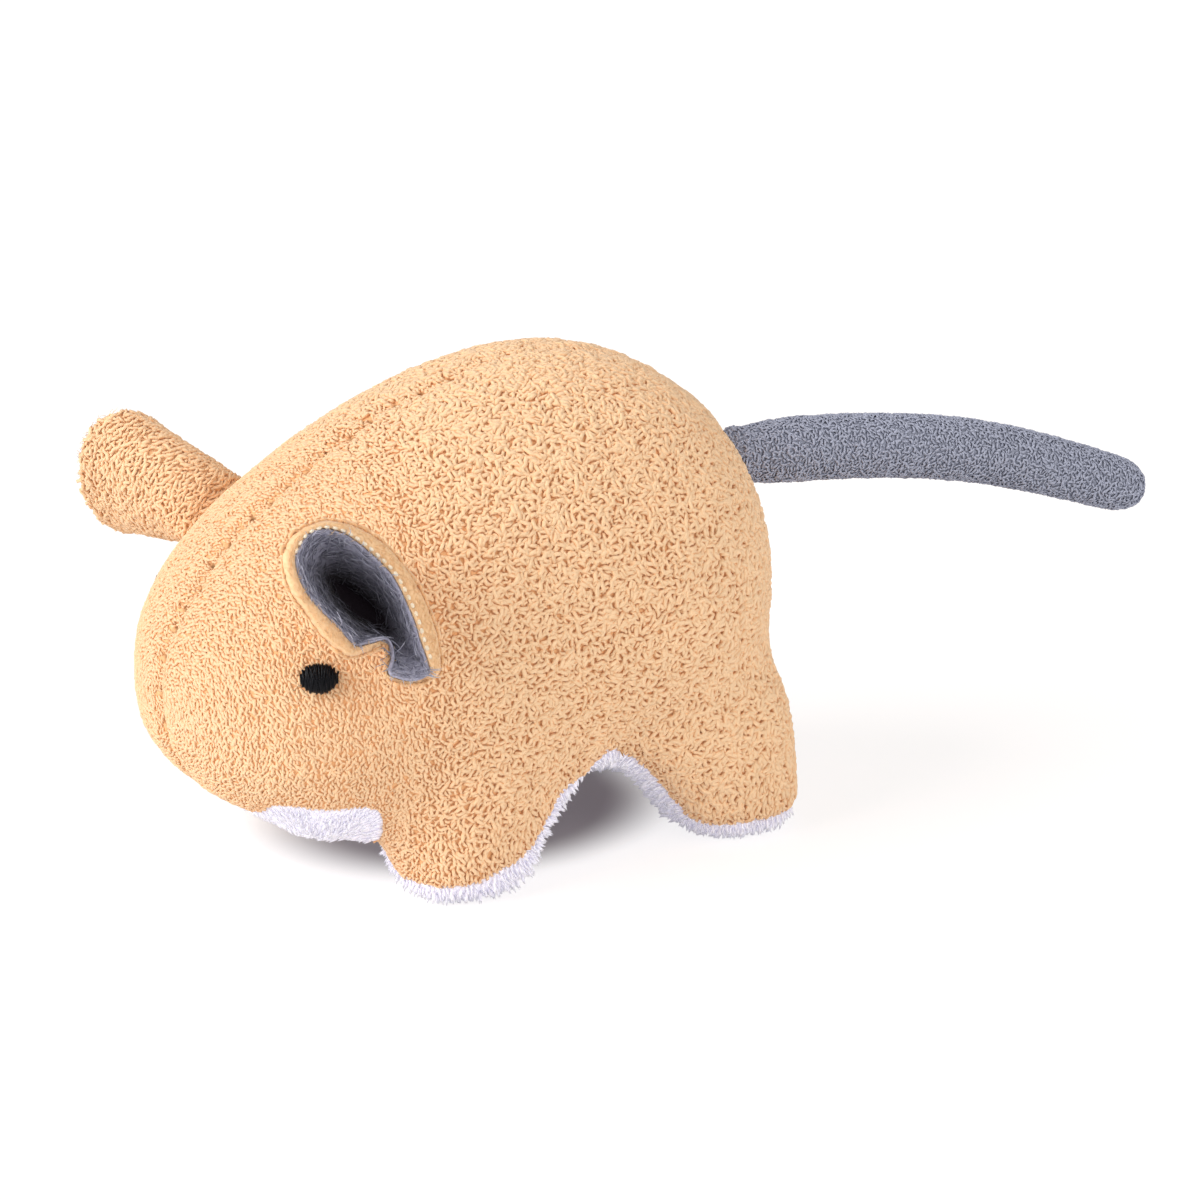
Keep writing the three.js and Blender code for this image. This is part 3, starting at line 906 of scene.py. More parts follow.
plushTuft = {
    "length": 1.9 * mm,
    "fibreRadius": 0.27 * mm,
    "taper": 0.8,
    "fibreSides": 3,
    "fibres": 2,
    "lengths": (0.75, 1.25),
    "splay": 0.32 * mm,
    "sink": 0.2 * mm,
    "rootSplay": 0.4,
    "bends": ((0.6, 0.25), (0.9, 0.65), (1.5, 1)),  # how far out and how high
    "styles": 4,
    "firstStyle": 40,
    "spacing": 0.58 * mm,
    "density": 1.4e7,
    "leanSpread": 0.15,
    "mess": 0.1,
    "flowRounds": 6,
    "sizeFromSeam": (0.8, 0.2, 0, 3),
    "seed": 71,
}
# under the jaw the plush is brushed flatter than between the legs
plushParts = {
    "jaw_plush": {"along": (29, 99), "lean": 1.42, "size": 0.75},
    "belly_plush": {"along": (-99, 29), "lean": 1.15, "size": 0.9},
}


def tuftMesh(name, style, seed):
    chance = np.random.default_rng(seed)
    shortest, longest = style["lengths"]
    thick = style["fibreRadius"]
    parts = []
    for fibre in range(style["fibres"]):
        lap = 2 * math.pi * (fibre + chance.random()) / style["fibres"]
        out = Vector((math.cos(lap), math.sin(lap), 0)) * style["splay"]
        length = style["length"] * (shortest + (longest - shortest) * chance.random())
        path = [out * style["rootSplay"] - Vector((0, 0, style["sink"]))]
        path += [out * wide + Vector((0, 0, tall * length)) for wide, tall in style["bends"]]
        parts.append(tubeParts(path, [0, thick, style["taper"] * thick, 0], style["fibreSides"]))
    points, faces = joinParts(parts)
    mesh = meshFrom(name, points, faces)
    setValues(mesh, "lift", np.clip([p[2] / style["length"] for p in points], 0, 1))
    return mesh


plush = strandGroup("plush", [tuftMesh(f"tuft{n}", plushTuft, plushTuft["firstStyle"] + n)
                              for n in range(plushTuft["styles"])])


def dressBelly():
    chosen = panelOwner == bellyPanel
    mesh, _ = skinPart("belly_panel_cloth", chosen)
    panel = closedPanel("belly_panel_cloth", mesh, bodyCover["wall"], whiteGround)
    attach(panel, "torso")
    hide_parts("belly_panel")
    place = alongBody(faceMiddles)
    for name, part in plushParts.items():
        low, high = part["along"]
        bed, used = skinPart("bed", chosen & (place > low) & (place <= high))
        gap = seamGap(bodyPoints[used]) / mm
        flow = relax(fromSeam(bodyPoints[used]), edgesOf(bed), plushTuft["flowRounds"])
        setPile(bed, flow, plushTuft["mess"], part["size"] * rising(gap, *plushTuft["sizeFromSeam"]))
        tufts = cover(name, bed, plushTuft, plush, whitePlush, plushTuft["seed"], lean=part["lean"],
                      leanSpread=plushTuft["leanSpread"])
        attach(tufts, "torso")


dressBelly()


# seam stitches along the lines where the panels meet

seamStitch = {
    "back": {"length": 1.9 * mm, "radius": 0.2 * mm, "lift": -0.3 * mm},
    "belly": {"length": 1.0 * mm, "radius": 0.15 * mm, "lift": -1.1 * mm},
    "pitch": 2.6 * mm,
}
# how far along a stitch, and how thick it is there
stitchProfile = ((-0.5, 0), (-0.42, 0.7), (-0.15, 1), (0.15, 1), (0.42, 0.7), (0.5, 0))
stitchSides = 5


def stitchTree():
    tree, given = newTree("stitches", {"Stitch": "Object", "Thread": "Material", "Pitch": "Float"})
    line = addNode(tree, "GeometryNodeMeshToCurve", Mesh=given["Geometry"]).outputs[0]
    spots = addNode(tree, "GeometryNodeResampleCurve", {"mode": "LENGTH"}, Curve=line,
                    Length=given["Pitch"]).outputs[0]
    run = addNode(tree, "GeometryNodeInputTangent").outputs[0]
    up = addNode(tree, "GeometryNodeInputNamedAttribute", {"data_type": "FLOAT_VECTOR"}, Name="up").outputs[0]
    along = addNode(tree, "FunctionNodeAlignRotationToVector", {"axis": "X"}, Vector=run).outputs[0]
    stood = addNode(tree, "FunctionNodeAlignRotationToVector", {"axis": "Z", "pivot_axis": "X"},
                    Rotation=along, Vector=up).outputs[0]
    stitch = addNode(tree, "GeometryNodeObjectInfo", Object=given["Stitch"]).outputs["Geometry"]
    copies = addNode(tree, "GeometryNodeInstanceOnPoints", Points=spots, Instance=stitch,
                     Rotation=stood).outputs[0]
    return endTree(tree, copies, given["Thread"])


def stitchShape(name, length, radius, lift):
    path = [(length * along, 0, lift - abs(along) ** 3 * length) for along, _ in stitchProfile]
    points, faces = tubeParts(path, [radius * thick for _, thick in stitchProfile], stitchSides)
    return bpy.data.objects.new(name, meshFrom(name, points, faces))


stitches = stitchTree()
tanThread = clothMaterial("tanThread", linear(226, 180, 132), linear(186, 134, 88),
                          knit=5200, relief=0.05 * mm)
whiteThread = clothMaterial("whiteThread", linear(246, 243, 252), linear(226, 222, 238),
                            knit=5200, relief=0.05 * mm)


def lineBed(name, points, edges, ups):
    mesh = bpy.data.meshes.new(name)
    mesh.from_pydata([tuple(p) for p in points], edges, [])
    setValues(mesh, "up", ups)
    return addObject(name, mesh)


def sewSeam(name, node, pairs, stitch, thread):
    edges = [edge for edge, who in seamLines.items() if who in pairs]
    used = np.unique(edges)
    index = newNumbers(used)
    links = [(index[a], index[b]) for a, b in edges]
    bed = lineBed(name + "Line", bodyPoints[used], links, bodyNormals[used])
    bar = stitchShape(name + "Bar", **stitch)
    sewn = grow(name, bed, stitches, Stitch=bar, Thread=thread, Pitch=seamStitch["pitch"])
    layOnFloor(sewn.data, floorGap["pile"])
    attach(sewn, "torso")
    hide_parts(node)
    print(name, len(sewn.data.polygons), "faces")


bellyPairs = [frozenset((panel, bellyPanel)) for panel in (leftPanel, rightPanel)]
sewSeam("back_seam_stitches", "back_seam_thread", [backPair], seamStitch["back"], tanThread)
sewSeam("belly_seam_stitches", "belly_seam_thread", bellyPairs, seamStitch["belly"], whiteThread)


# fibre filling and the catnip pouch inside the cover

filling = {
    "voxel": 2.0 * mm,
    "smoothRounds": 2,
    "shrink": 0.5 * mm,
    "lumpHeight": 0.35 * mm,
    "lumpLength": 10.625 * mm,
}
fibreFill = clothMaterial("fibreFill", linear(244, 242, 236), linear(216, 213, 205),
                          knit=900, relief=0.4 * mm)
pouchCloth = clothMaterial("pouchCloth", linear(196, 190, 150), linear(150, 150, 104),
                           knit=1500, relief=0.2 * mm)


def addFilling(node, body, material):
    mesh = softForm(node + "_fill", [node], filling["voxel"], gapGrow=0)
    setPoints(mesh, relax(pointsOf(mesh), edgesOf(mesh), filling["smoothRounds"]))
    points, normals = pointsOf(mesh), normalsOf(mesh)
    wave = np.sin(points * 2 * math.pi / filling["lumpLength"]).mean(axis=1)
    setPoints(mesh, points + normals * (wave * filling["lumpHeight"] - filling["shrink"])[:, None])
    item = addObject(node + "_fill", mesh)
    mesh.materials.append(material)
    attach(item, body)
    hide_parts(node)


for lump in bodyLumps + legLumps:
    addFilling(lump, "torso", fibreFill)
addFilling("catnip_pouch", "torso", pouchCloth)
print("filling done")


# the tail: a stuffed sleeve of curled grey yarn on a gathered root

tailCover = {
    "voxel": 0.9 * mm,
    "gapGrow": 0.6 * mm,
    "smoothRounds": 12,
    "pileRoom": 0.1 * mm,
    "wall": 0.6 * mm,
    "droop": 1.4 * mm,
    "droopAlong": (45, 84),
    "nearEnd": 14 * mm,
    "rootReach": 3.4 * mm,
    "rootBlend": (4, 11),
    "seed": 91,
}
boucleCurl = {
    "length": 1.15 * mm,
    "yarnRadius": 0.19 * mm,
    "height": 0.2 * mm,
    "sink": 0.16 * mm,
    "sides": 3,
    "steps": 5,
    "curls": (0.9, 1.9, 2.8, 3.6),
    "sways": (0.2, -0.2),
    "roundness": 0.6,
    "spacing": 0.41 * mm,
    "density": 2e7,
}
boucle = loopGroup("boucle", boucleCurl)


# the tail's pivot, and the way that it leaves the rump
def tailLine():
    pivot = Vector(joints["tail_lift"]["pos_m"])
    corners = [v.co for v in frame["nodes"]["tail_sleeve"].data.vertices]
    near = [corner for corner in corners if (corner - pivot).length < tailCover["nearEnd"]]
    return pivot, (sum(near, Vector()) / len(near) - pivot).normalized()


# the sleeve's near end goes under the rump's pile
def reachRoot(points):
    pivot, axis = tailLine()
    gap = np.linalg.norm(points - np.array(pivot), axis=1) / mm
    share = 1 - ramp(gap, *tailCover["rootBlend"])
    return points - np.outer(share * tailCover["rootReach"], axis)


def makeTail():
    mesh = softForm("tailForm", ["tail_sleeve", "tail_stuffing"], tailCover["voxel"], tailCover["gapGrow"])
    setPoints(mesh, relax(pointsOf(mesh), edgesOf(mesh), tailCover["smoothRounds"]))
    points = pointsOf(mesh) - normalsOf(mesh) * tailCover["pileRoom"]
    share = ramp(-points[:, 0] / mm, *tailCover["droopAlong"])
    setPoints(mesh, reachRoot(points - np.outer(share * tailCover["droop"], (0, 0, 1))))
    bed = mesh.copy()
    setPile(bed, flow=(1, 0, 0), mess=1, size=1)
    sleeve = closedPanel("tail_sleeve_cloth", mesh, tailCover["wall"], greyGround)
    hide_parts("tail_sleeve")
    curls = cover("tail_curls", bed, boucleCurl, boucle, greyCurl, tailCover["seed"])
    for item in (sleeve, curls):
        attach(item, "tail")


makeTail()
addFilling("tail_stuffing", "tail", fibreFill)


# the gathered root that the tail turns on

tailRoot = {
    "radius": 4.0 * mm,
    "pleats": 13,
    "depth": 0.15 * mm,
    "rows": 14,
    "around": 78,
    "fill": 0.7,
    "seed": 95,
}


def loftMesh(name, startPole, rows, endPole):
    points = [startPole, *[p for row in rows for p in row], endPole]
    mesh = meshFrom(name, points, ringFaces(len(rows[0]), len(rows)))
    work = bmesh.new()
    work.from_mesh(mesh)
    bmesh.ops.recalc_face_normals(work, faces=work.faces)
    work.to_mesh(mesh)
    work.free()
    return mesh


def makeTailRoot():
    pivot, axis = tailLine()
    side = axis.orthogonal().normalized()
    other = axis.cross(side)
    rows = []
    for row in range(1, tailRoot["rows"]):
        lap = math.pi * row / tailRoot["rows"]
        ring = []
        for step in range(tailRoot["around"]):
            turn = 2 * math.pi * step / tailRoot["around"]
            pleat = tailRoot["depth"] * math.cos(tailRoot["pleats"] * turn) * math.sin(lap)
            reach = (tailRoot["radius"] + pleat) * math.sin(lap)
            flat = side * math.cos(turn) + other * math.sin(turn)
            ring.append(pivot - axis * tailRoot["radius"] * math.cos(lap) + flat * reach)
        rows.append(ring)
    ends = [pivot - axis * tailRoot["radius"], pivot + axis * tailRoot["radius"]]
    item = addObject("tail_root_gather_cloth", loftMesh("tailRoot", ends[0], rows, ends[1]))
    bed = item.data.copy()
    setPile(bed, flow=(1, 0, 0), mess=1, size=1)
    curls = cover("tail_root_curls", bed, boucleCurl, boucle, greyCurl, tailRoot["seed"])
    item.data.materials.append(greyGround)
    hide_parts("tail_root_gather")
    for piece in (item, curls):
        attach(piece, "tail_root")


makeTailRoot()
print("tail done")


# ears: a rolled leaf of terry with a fleece lining, closed at its keel

# lengths in millimetres
earLeaf = {
    "rimLong": Vector((7.5, -3.9, 10)),
    "rimShort": Vector((7.2, 1.2, -1.8)),
    "keelTurns": (65, 40, 18),
    "keelWidth": 0.8,
    "around": 120,
    "rises": (0, 0.05, 0.11, 0.18, 0.26, 0.35, 0.45, 0.56, 0.67, 0.77, 0.86, 0.93, 1),
    "shellFlare": 0.42,
    "liningFlare": 0.95,
    "foldFlare": 1.5,
    "sunkFlare": 2,
    "smoothRounds": 3,
    "rimReach": {"terry": 1.03, "lining": 0.86},
    "loopRoom": (0.8, 0.8),
    "clothRoom": (0.9, 0.0),
    "liningRoom": (1.5, 0.0),
    "liningFaces": (0.08, 0.5),
    "lowestRow": 2,
    "wall": (0.5, 0.35, 0.85, 1),  # thicker towards the rim
    "lipWall": 0.4,
    "lipHeight": 0.5,
    "lipCrown": 0.2,
    "bareDrop": 1.4,
    "liningLip": 0.15,
    "bareLip": 0.4,
    "loopMess": 0.2,
    "loopSize": 0.85,
}
# the left ear is folded at its lower front, the right one is rolled to a plain barrel
earSides = {
    "left": {
        "rimCentre": Vector((42.6, 34.9, 51.9)),
        "rimLength": 1,
        "twist": 0,
        "fold": 1,
        "keelRadius": 2.4,
        "keelHalfLength": 4.5,
        "keelDepth": 2.2,
        "sink": 0,
        "liningLean": 0.22,
    },
    "right": {
        "rimCentre": Vector((44.5, 35.6, 51.0)),
        "rimLength": 0.86,
        "twist": -24,
        "fold": 0,
        "keelRadius": 6.2,
        "keelHalfLength": 4.8,
        "keelDepth": 3.6,
        "sink": 2.8,
        "liningLean": 0.05,
    },
}
# round the rim from its top by the front: the angle at the base, the terry's edge and the lining's edge,
# each as along, across and sunk, and 1 where the lining reaches the edge
earRim = (
    (0, 1.02, 0.02, 0, 0.94, 0, 0, 0),
    (24, 0.91, 0.48, 0, 0.81, 0.42, 0, 0),
    (42, 0.74, 0.74, 0, 0.61, 0.66, 0, 0),
    (60, 0.47, 0.96, 0, 0.39, 0.78, 0, 0),
    (78, 0.17, 1.04, 0, 0.15, 0.81, 0, 0),
    (93, -0.11, 1.1, 0, -0.1, 0.79, 0, 0),
    (106, -0.34, 1.04, 0, -0.26, 0.8, 0, 0),
    (117, -0.43, 0.94, -0.5, -0.37, 0.73, -0.5, 0),
    (128, -0.49, 0.56, -1.5, -0.43, 0.41, -1.5, 0.2),
    (138, -0.53, 0.06, -3, -0.5, 0.02, -3, 1),
    (147, -0.67, 0.27, -2, -0.66, 0.25, -2, 1),
    (156, -0.79, 0.63, -1, -0.78, 0.6, -1, 1),
    (165, -0.88, 0.63, -0.5, -0.87, 0.6, -0.5, 1),
    (175, -1.0, 0.45, 0, -0.99, 0.42, 0, 1),
    (186, -1.05, 0.13, 0, -1.02, 0.12, 0, 0.9),
    (199, -1.04, -0.19, 0, -0.94, -0.08, 0, 0),
    (220, -0.71, -0.61, 0, -0.65, -0.31, 0, 0),
    (237, -0.51, -0.78, 0, -0.43, -0.5, 0, 0),
    (259, -0.19, -0.99, 0, -0.16, -0.67, 0, 0),
    (279, 0.19, -1.11, 0, 0.11, -0.8, 0, 0),
    (295, 0.45, -1.11, 0, 0.35, -0.8, 0, 0),
    (312, 0.7, -0.98, 0, 0.6, -0.74, 0, 0),
    (328, 0.88, -0.76, 0, 0.79, -0.63, 0, 0),
    (344, 0.99, -0.49, 0, 0.93, -0.38, 0, 0),
)
rimColumns = {"terry": slice(1, 4), "lining": slice(4, 7), "bare": slice(7, 8)}


# smooth closed curve through the stops
def closedSpline(stops, count):
    stops = np.array(stops, float)
    rows = []
    for step in range(count):
        spot, share = divmod(step * len(stops) / count, 1)
        a, b, c, d = (stops[(int(spot) + k) % len(stops)] for k in (-1, 0, 1, 2))
        curve = 2 * a - 5 * b + 4 * c - d + share * (3 * (b - c) + d - a)
        rows.append(b + 0.5 * share * (c - a + share * curve))
    return np.array(rows)


def earTurns():
    spots = np.arange(earLeaf["around"]) * len(earRim) / earLeaf["around"]
    return np.radians(np.interp(spots, range(len(earRim) + 1), [*[row[0] for row in earRim], 360]))


def earRing(columns, fold):
    folded = closedSpline([row[rimColumns[columns]] for row in earRim], earLeaf["around"])
    if columns == "bare":
        return np.clip(folded, 0, 1) * fold
    turns = earTurns()
    plain = np.stack([np.cos(turns), np.sin(turns), 0 * turns], axis=1) * earLeaf["rimReach"][columns]
    return plain + (folded - plain) * fold


# an ear's seat on the head, as on the left side, in millimetres from the mouse's own middle
def earSeat(side):
    joint = joints["left_ear_flap"]
    spot = Vector(joint["pos_m"])
    line = Vector(joint["axis"])
    line = line if line.dot(earLeaf["rimLong"]) > 0 else -line
    skin = BVHTree.FromBMesh(mergedNode("left_side_panel")).find_nearest(spot)[0]
    normal = (spot - skin).normalized()
    across = line.cross(normal)
    across = across if across.dot(earLeaf["rimShort"]) > 0 else -across
    out = earLeaf["rimLong"].cross(earLeaf["rimShort"]).normalized()
    out = out if out.y > 0 else -out
    turn = Quaternion(out, math.radians(earSides[side]["twist"]))
    pivot = (spot - middle) / mm - normal * earSides[side]["sink"]
    return {"pivot": pivot, "normal": normal, "out": out, "centre": earSides[side]["rimCentre"],
            "keelLong": line * earSides[side]["keelHalfLength"],
            "keelShort": across * earSides[side]["keelRadius"], "keelDepth": earSides[side]["keelDepth"],
            "rimLong": turn @ earLeaf["rimLong"] * earSides[side]["rimLength"],
            "rimShort": turn @ earLeaf["rimShort"], "fold": earSides[side]["fold"]}


# rings from the keel to the rim, each set back by the room that it leaves at the base and at the rim
def earFace(seat, columns, flare, room, lean=0.0):
    rim, turns = earRing(columns, seat["fold"]), earTurns()
    rows = []
    for rise in earLeaf["rises"]:
        opened = rise ** flare
        centre = seat["pivot"].lerp(seat["centre"], rise) + seat["rimShort"] * lean * (1 - rise)
        long = seat["keelLong"].lerp(seat["rimLong"], opened)
        short = seat["keelShort"].lerp(seat["rimShort"], opened)
        folded = rise ** earLeaf["foldFlare"]
        alongLong = np.cos(turns) * (1 - folded) + rim[:, 0] * folded
        alongShort = np.sin(turns) * (1 - folded) + rim[:, 1] * folded
        row = np.outer(alongLong, long) + np.outer(alongShort, short)
        sunk = rim[:, 2] * rise ** earLeaf["sunkFlare"]
        rows.append(np.array(centre) + row + np.outer(sunk, seat["out"]))
    grid = np.array(rows)
    lapwise = np.roll(grid, -1, axis=1) - np.roll(grid, 1, axis=1)
    upwise = np.gradient(grid, axis=0)
    normals = np.cross(lapwise, upwise)
    for _ in range(earLeaf["smoothRounds"]):
        normals = normals + np.roll(normals, 1, axis=1) + np.roll(normals, -1, axis=1)
    normals /= np.linalg.norm(normals, axis=2, keepdims=True)
    if ((grid - grid.mean(axis=1, keepdims=True)) * normals).sum() < 0:
        normals = -normals
    inset = np.interp(earLeaf["rises"], (0, 1), room)[:, None, None]
    return {"grid": grid - normals * inset, "normals": normals, "lapwise": lapwise, "upwise": upwise}


def earKeel(seat):
    turns = earTurns()
    flat = np.outer(np.cos(turns), seat["keelLong"]) + np.outer(np.sin(turns), seat["keelShort"])
    flat = earLeaf["keelWidth"] * flat
    deep = seat["normal"] * seat["keelDepth"]
    return [np.array(seat["pivot"] - deep * math.sin(turn)) + flat * math.cos(turn)
            for turn in np.radians(earLeaf["keelTurns"])]


def onSide(points, side):
    flip = np.array([1, 1 if side == "left" else -1, 1])
    return np.asarray(points) * flip * mm + np.array(middle)


def earOutside(ear):
    wall = rising(np.array(earLeaf["rises"]), *earLeaf["wall"])
    return ear["shell"]["grid"] + ear["shell"]["normals"] * wall[:, None, None]


# the rim's edge: outside, crown and inside, lower where the lining comes over it
def earLip(ear):
    shell, inside, out, bare = ear["shell"], ear["inside"], np.array(ear["seat"]["out"]), ear["bare"]
    height = out * earLeaf["lipHeight"] * (1 - earLeaf["bareDrop"] * bare)
    outer = shell["grid"][-1] + shell["normals"][-1] * earLeaf["lipWall"] + height
    inner = inside["grid"][-1] + height
    return [outer, (outer + inner) / 2 + out * earLeaf["lipCrown"], inner]


def earShellMesh(side, ear):
    inner = ear["inside"]["grid"]
    rows = [*ear["keel"], *earOutside(ear), *earLip(ear), *inner[:0:-1]]
    pole = ear["seat"]["pivot"] - ear["seat"]["normal"] * ear["seat"]["keelDepth"]
    return loftMesh(side + "_ear_shell_cloth", onSide(pole, side), [onSide(row, side) for row in rows],
                    onSide(inner[0].mean(axis=0), side))


# the lining runs from low in the ear to the rim, and over the edge where it is bare
def earLiningRows(ear, depth):
    lining, bare = ear["lining"], ear["bare"]
    rows = (lining["grid"] - lining["normals"] * depth)[earLeaf["lowestRow"]:]
    rows[-1] += np.array(ear["seat"]["out"]) * (earLeaf["liningLip"] + earLeaf["bareLip"] * bare)
    return rows


def earLiningMesh(side, ear):
    outer, inner = (earLiningRows(ear, depth) for depth in earLeaf["liningFaces"])
    lip = (outer[-1] + inner[-1]) / 2 + np.array(ear["seat"]["out"]) * earLeaf["lipCrown"]
    rows = [*outer, lip, *inner[::-1]]
    mesh = loftMesh(side + "_ear_lining_cloth", onSide(outer[0].mean(axis=0), side),
                    [onSide(row, side) for row in rows], onSide(inner[0].mean(axis=0), side))
    rises = earLeaf["rises"][earLeaf["lowestRow"]:]
    # rise runs from the bottom of the ear to the rim; the lining's painted shade follows it
    setValues(mesh, "rise", [0, *np.repeat([*rises, 1, *rises[::-1]], earLeaf["around"]), 0])
    return mesh


def gridBed(side, rows, facing, flow, mess, size):
    tall, count = rows.shape[:2]
    faces = []
    for row in range(tall - 1):
        for step in range(count):
            low, after = row * count, (step + 1) % count
            faces.append([low + step, low + after, low + count + after, low + count + step])
    mesh = meshFrom("bed", onSide(rows.reshape(-1, 3), side), faces)
    way = onSide(facing.reshape(-1, 3), side) - np.array(middle)
    if (normalsOf(mesh) * way).sum() < 0:
        mesh.flip_normals()
    setPile(mesh, onSide(flow.reshape(-1, 3), side) - np.array(middle), mess, size)
    return mesh


# the lining's long hairs, and shorter ones on the rim's edge
fuzz = {
    "length": 2.6 * mm,
    "radius": 0.07 * mm,
    "sides": 3,
    "profile": ((0, 0), (0.1, 1), (0.4, 1), (0.75, 0.7), (1, 0)),  # how far along, how thick
    "bow": 0.8 * mm,
    "bows": (-1, -0.3, 0.4, 1),
    "rise": 0.4,
    "riseEnd": 1.2,
    "spacing": 0.5 * mm,
    "density": 1e7,
    "leanSpread": 0.25,
    "mess": 0.7,
    "size": 1.0,
}
edgeFuzz = {**fuzz, "spacing": 0.3 * mm, "density": 3e7, "mess": 0.8, "size": 0.45}


def fuzzMesh(name, bow):
    path, radii = [], []
    for along, thick in fuzz["profile"]:
        up = fuzz["rise"] * fuzz["length"] * along * (fuzz["riseEnd"] - along)
        path.append((fuzz["length"] * along, bow * math.sin(math.pi * along) * along, up))
        radii.append(fuzz["radius"] * thick)
    points, faces = tubeParts(path, radii, fuzz["sides"])
    mesh = meshFrom(name, points, faces)
    setValues(mesh, "lift", np.clip([p[0] / fuzz["length"] for p in points], 0, 1))
    return mesh


fluff = strandGroup("fluff", [fuzzMesh(f"fuzz{n}", bow * fuzz["bow"]) for n, bow in enumerate(fuzz["bows"])])
# the deep colour is painted shade, near black in the bottom of the ear
greyFluff = fibreMaterial("greyFluff", linear(160, 159, 176), linear(196, 195, 208), linear(124, 122, 138),
                          spread=0.08, patch=90, grain=7000, sheen=0.4, deep=linear(30, 22, 28))
tanFluff = fibreMaterial("tanFluff", linear(246, 204, 152), linear(252, 218, 176), linear(238, 190, 136),
                         spread=0.05, patch=90, grain=7000, sheen=0.4)
greyFleece = clothMaterial("greyFleece", linear(172, 170, 188), linear(140, 138, 156),
                           knit=2200, relief=0.12 * mm, deep=linear(30, 22, 28))
rimThread = clothMaterial("rimThread", linear(252, 238, 214), linear(240, 214, 178),
                          knit=5200, relief=0.05 * mm)

# a row of stitches up the rim's rear edge and over its top, from and to which angle of the rim
rimStitch = {
    "bead": {"length": 0.75 * mm, "radius": 0.25 * mm, "lift": 0.1 * mm},
    "pitch": 1.2 * mm,
    "fromEdge": 0.2,
    "above": 0.1,
    "sewnFrom": 204,
    "sewnTo": 20,
}
rimBead = stitchShape("rimBead", **rimStitch["bead"])


def sewRim(side, ear):
    _, crown, inner = earLip(ear)
    out = np.array(ear["seat"]["out"])
    line = inner + (crown - inner) * rimStitch["fromEdge"] + out * rimStitch["above"]
    turns = np.degrees(earTurns())
    sewn = (turns > rimStitch["sewnFrom"]) | (turns < rimStitch["sewnTo"])
    links = [(n, (n + 1) % len(line)) for n in range(len(line)) if sewn[n] and sewn[(n + 1) % len(line)]]
    ups = onSide(np.tile(out, (len(line), 1)), side) - np.array(middle)
    return grow(side + "_ear_rim_stitches", lineBed("rimLine", onSide(line, side), links, ups), stitches,
                Stitch=rimBead, Thread=rimThread, Pitch=rimStitch["pitch"])


def makeEar(side, seed):
    seat = earSeat(side)
    ear = {"seat": seat, "keel": earKeel(seat), "bare": earRing("bare", seat["fold"]),
           "shell": earFace(seat, "terry", earLeaf["shellFlare"], earLeaf["loopRoom"]),
           "inside": earFace(seat, "lining", earLeaf["shellFlare"], earLeaf["clothRoom"]),
           "lining": earFace(seat, "lining", earLeaf["liningFlare"], earLeaf["liningRoom"],
                             earSides[side]["liningLean"])}
    shell = addObject(side + "_ear_shell_cloth", earShellMesh(side, ear))
    shell.data.materials.append(tanFelt)
    lining = addObject(side + "_ear_lining_cloth", earLiningMesh(side, ear))
    lining.data.materials.append(greyFleece)

    def withKeel(name):
        rows = ear["shell"][name]
        return np.concatenate([rows[[0] * len(ear["keel"])], rows])

    back = np.concatenate([ear["keel"], earOutside(ear)])
    bed = gridBed(side, back, withKeel("normals"), withKeel("lapwise"), earLeaf["loopMess"],
                  earLeaf["loopSize"])
    loops = cover(side + "_ear_loops", bed, terryLoop, terry, tanLoop, seed)
    low = earLeaf["lowestRow"]
    bed = gridBed(side, earLiningRows(ear, earLeaf["liningFaces"][1]), -ear["lining"]["normals"][low:],
                  ear["lining"]["upwise"][low:], fuzz["mess"], fuzz["size"])
    # the hairs take the same rise, so painted shade darkens them low in the ear
    setValues(bed, "rise", np.repeat(earLeaf["rises"][low:], earLeaf["around"]))
    hairs = cover(side + "_ear_fluff", bed, fuzz, fluff, greyFluff, seed + 1, leanSpread=fuzz["leanSpread"])
    lips = np.array(earLip(ear))
    outward = np.tile(lips[0] - lips[2], (len(lips), 1, 1))
    bed = gridBed(side, lips, np.broadcast_to(seat["out"], lips.shape), outward, edgeFuzz["mess"],
                  edgeFuzz["size"])
    edge = cover(side + "_ear_edge_fluff", bed, edgeFuzz, fluff, tanFluff, seed + 2,
                 leanSpread=edgeFuzz["leanSpread"])
    beads = sewRim(side, ear)
    slots = {shell: "tan_terry", loops: "tan_terry", edge: "tan_terry", lining: "grey_fleece",
             hairs: "grey_fleece", beads: "seam_thread"}
    for item, slot in slots.items():
        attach(item, side + "_ear")
    for item in (shell, lining):
        printArea(item)
    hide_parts(side + "_ear_shell")
    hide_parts(side + "_ear_lining")
    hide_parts(side + "_ear_rim_stitch")


makeEar("left", seed=111)
makeEar("right", seed=121)


# eyes: satin stitch over a small pad

eyeLook = {"Sheen Weight": 0, "Roughness": 0.28, "Specular IOR Level": 0.14}
eyeThread = clothMaterial("eyeThread", linear(12, 13, 19), linear(5, 5, 9), knit=6000, relief=0.05 * mm)
for socket, value in eyeLook.items():
    eyeThread.node_tree.nodes["Principled BSDF"].inputs[socket].default_value = value


